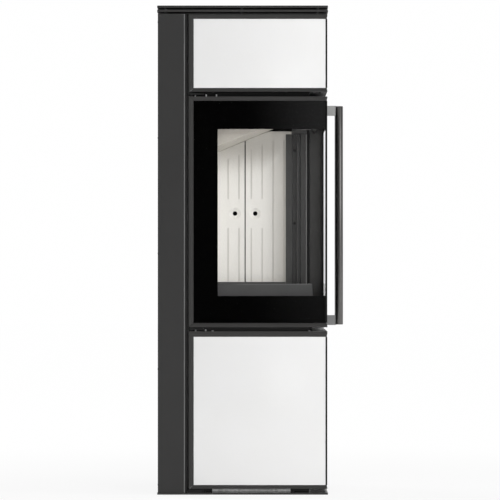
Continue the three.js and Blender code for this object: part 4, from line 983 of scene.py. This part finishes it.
def makeWorld():
    world = bpy.data.worlds.new("studioAir")
    bpy.context.scene.world = world
    world.use_nodes = True
    world.node_tree.nodes.clear()
    paint = Paint(world.node_tree)
    seen = seenDirectly(paint)
    glossy = paint.ray("Is Glossy Ray")
    direction = paint.wire("ShaderNodeTexCoord", output="Generated")
    facing = paint.wire("ShaderNodeSeparateXYZ", None, {0: direction}) * -1.0
    mirrored = paint.spread(facing.ramp(*airLook["turn"]), *airLook["gloss"])
    strength = (1 - glossy) * airLook["light"] + glossy * mirrored
    strength = (1 - seen) * strength + seen * airLook["backdrop"]
    surface = paint.wire("ShaderNodeBackground", None, {"Color": white, "Strength": strength})
    paint.node("ShaderNodeOutputWorld", None, {"Surface": surface})


cardLook = {"x": -3.0, "y": (-8.0, 0.5), "z": (0.0, 3.0), "fadeY": (-0.35, 0.0), "fadeZ": (0.1, 1.4),
            "lowToHigh": (0.1, 1.0), "glow": 0.4, "brightY": (1.6, 3.0), "brightGlow": 1.7}


def makeCard():
    # A card that only reflections see: dim before the glass, brighter towards the front for the handle bar
    (y0, y1), (z0, z1) = cardLook["y"], cardLook["z"]
    mesh = flatMesh("glossCard", [(cardLook["x"], y, z) for y, z in ((y0, z0), (y1, z0), (y1, z1), (y0, z1))])
    material, paint = newPaint("glossCard")
    y, z = paint.axes()[1:]
    side = 1.0 - y.ramp(*cardLook["fadeY"])
    height = paint.spread(z.ramp(*cardLook["fadeZ"]), *cardLook["lowToHigh"])
    strength = side * cardLook["glow"] + (y * -1.0).ramp(*cardLook["brightY"]) * cardLook["brightGlow"]
    glow = paint.wire("ShaderNodeEmission", None, {"Color": white, "Strength": strength * height})
    paint.node("ShaderNodeOutputMaterial", None, {"Surface": glow})
    mesh.materials.append(material)
    holder = addObject("glossCard", mesh)
    for ray in ("camera", "diffuse", "transmission", "volume_scatter", "shadow"):
        setattr(holder, "visible_" + ray, False)


# Each lamp's place, what it is turned to, its width in metres and its power in watts
lampAim = (0, 0, 0.8)
lamps = {
    "eyeLevel": {"place": (-7.0, -0.8, 0.6), "aim": lampAim, "size": 1.2, "power": 166},
    "cameraSide": {"place": (-7.0, -2.8, 3.0), "aim": lampAim, "size": 1.8, "power": 120},
    "frontSide": {"place": (-1.6, -6.2, 2.2), "aim": lampAim, "size": 3.0, "power": 150},
    "fireboxFill": {"place": (-0.14, 0.0, 0.78), "aim": (0.2, -0.02, 0.70), "size": 0.3, "power": 0.1},
    "overhead": {"place": (0, 0, 5.0), "aim": lampAim, "size": 3.0, "power": 60},
    "rearSide": {"place": (4.5, 4.5, 2.4), "aim": lampAim, "size": 3.0, "power": 240},
}


def makeLamps():
    for name, lamp in lamps.items():
        light = bpy.data.lights.new(name, "AREA")
        light.shape = "SQUARE"
        light.size = lamp["size"]
        light.energy = lamp["power"]
        holder = addObject(name, light)
        holder.location = lamp["place"]
        aim = Vector(lamp["aim"]) - Vector(lamp["place"])
        holder.rotation_euler = aim.to_track_quat("-Z", "Y").to_euler()
        holder.visible_camera = False
        holder.visible_glossy = False


# Straight at the glazed side from far off, so that it shows almost without perspective
cameraView = {"place": (-9.65, -0.035, 0.689), "turn": (90, 0, -90), "lens": 220.7, "sensor": 36.0,
              "shift": (-0.008, 0.04), "farthest": 200.0}


def makeCamera():
    camera = bpy.data.cameras.new("photoView")
    camera.lens = cameraView["lens"]
    camera.sensor_width = cameraView["sensor"]
    camera.shift_x, camera.shift_y = cameraView["shift"]
    camera.clip_end = cameraView["farthest"]
    holder = addObject("photoView", camera)
    holder.location = cameraView["place"]
    holder.rotation_euler = [math.radians(angle) for angle in cameraView["turn"]]
    bpy.context.scene.camera = holder


makeFloor()
makeWorld()
makeCard()
makeLamps()
makeCamera()
bpy.context.scene.view_settings.view_transform = "Standard"
print("studio ready")
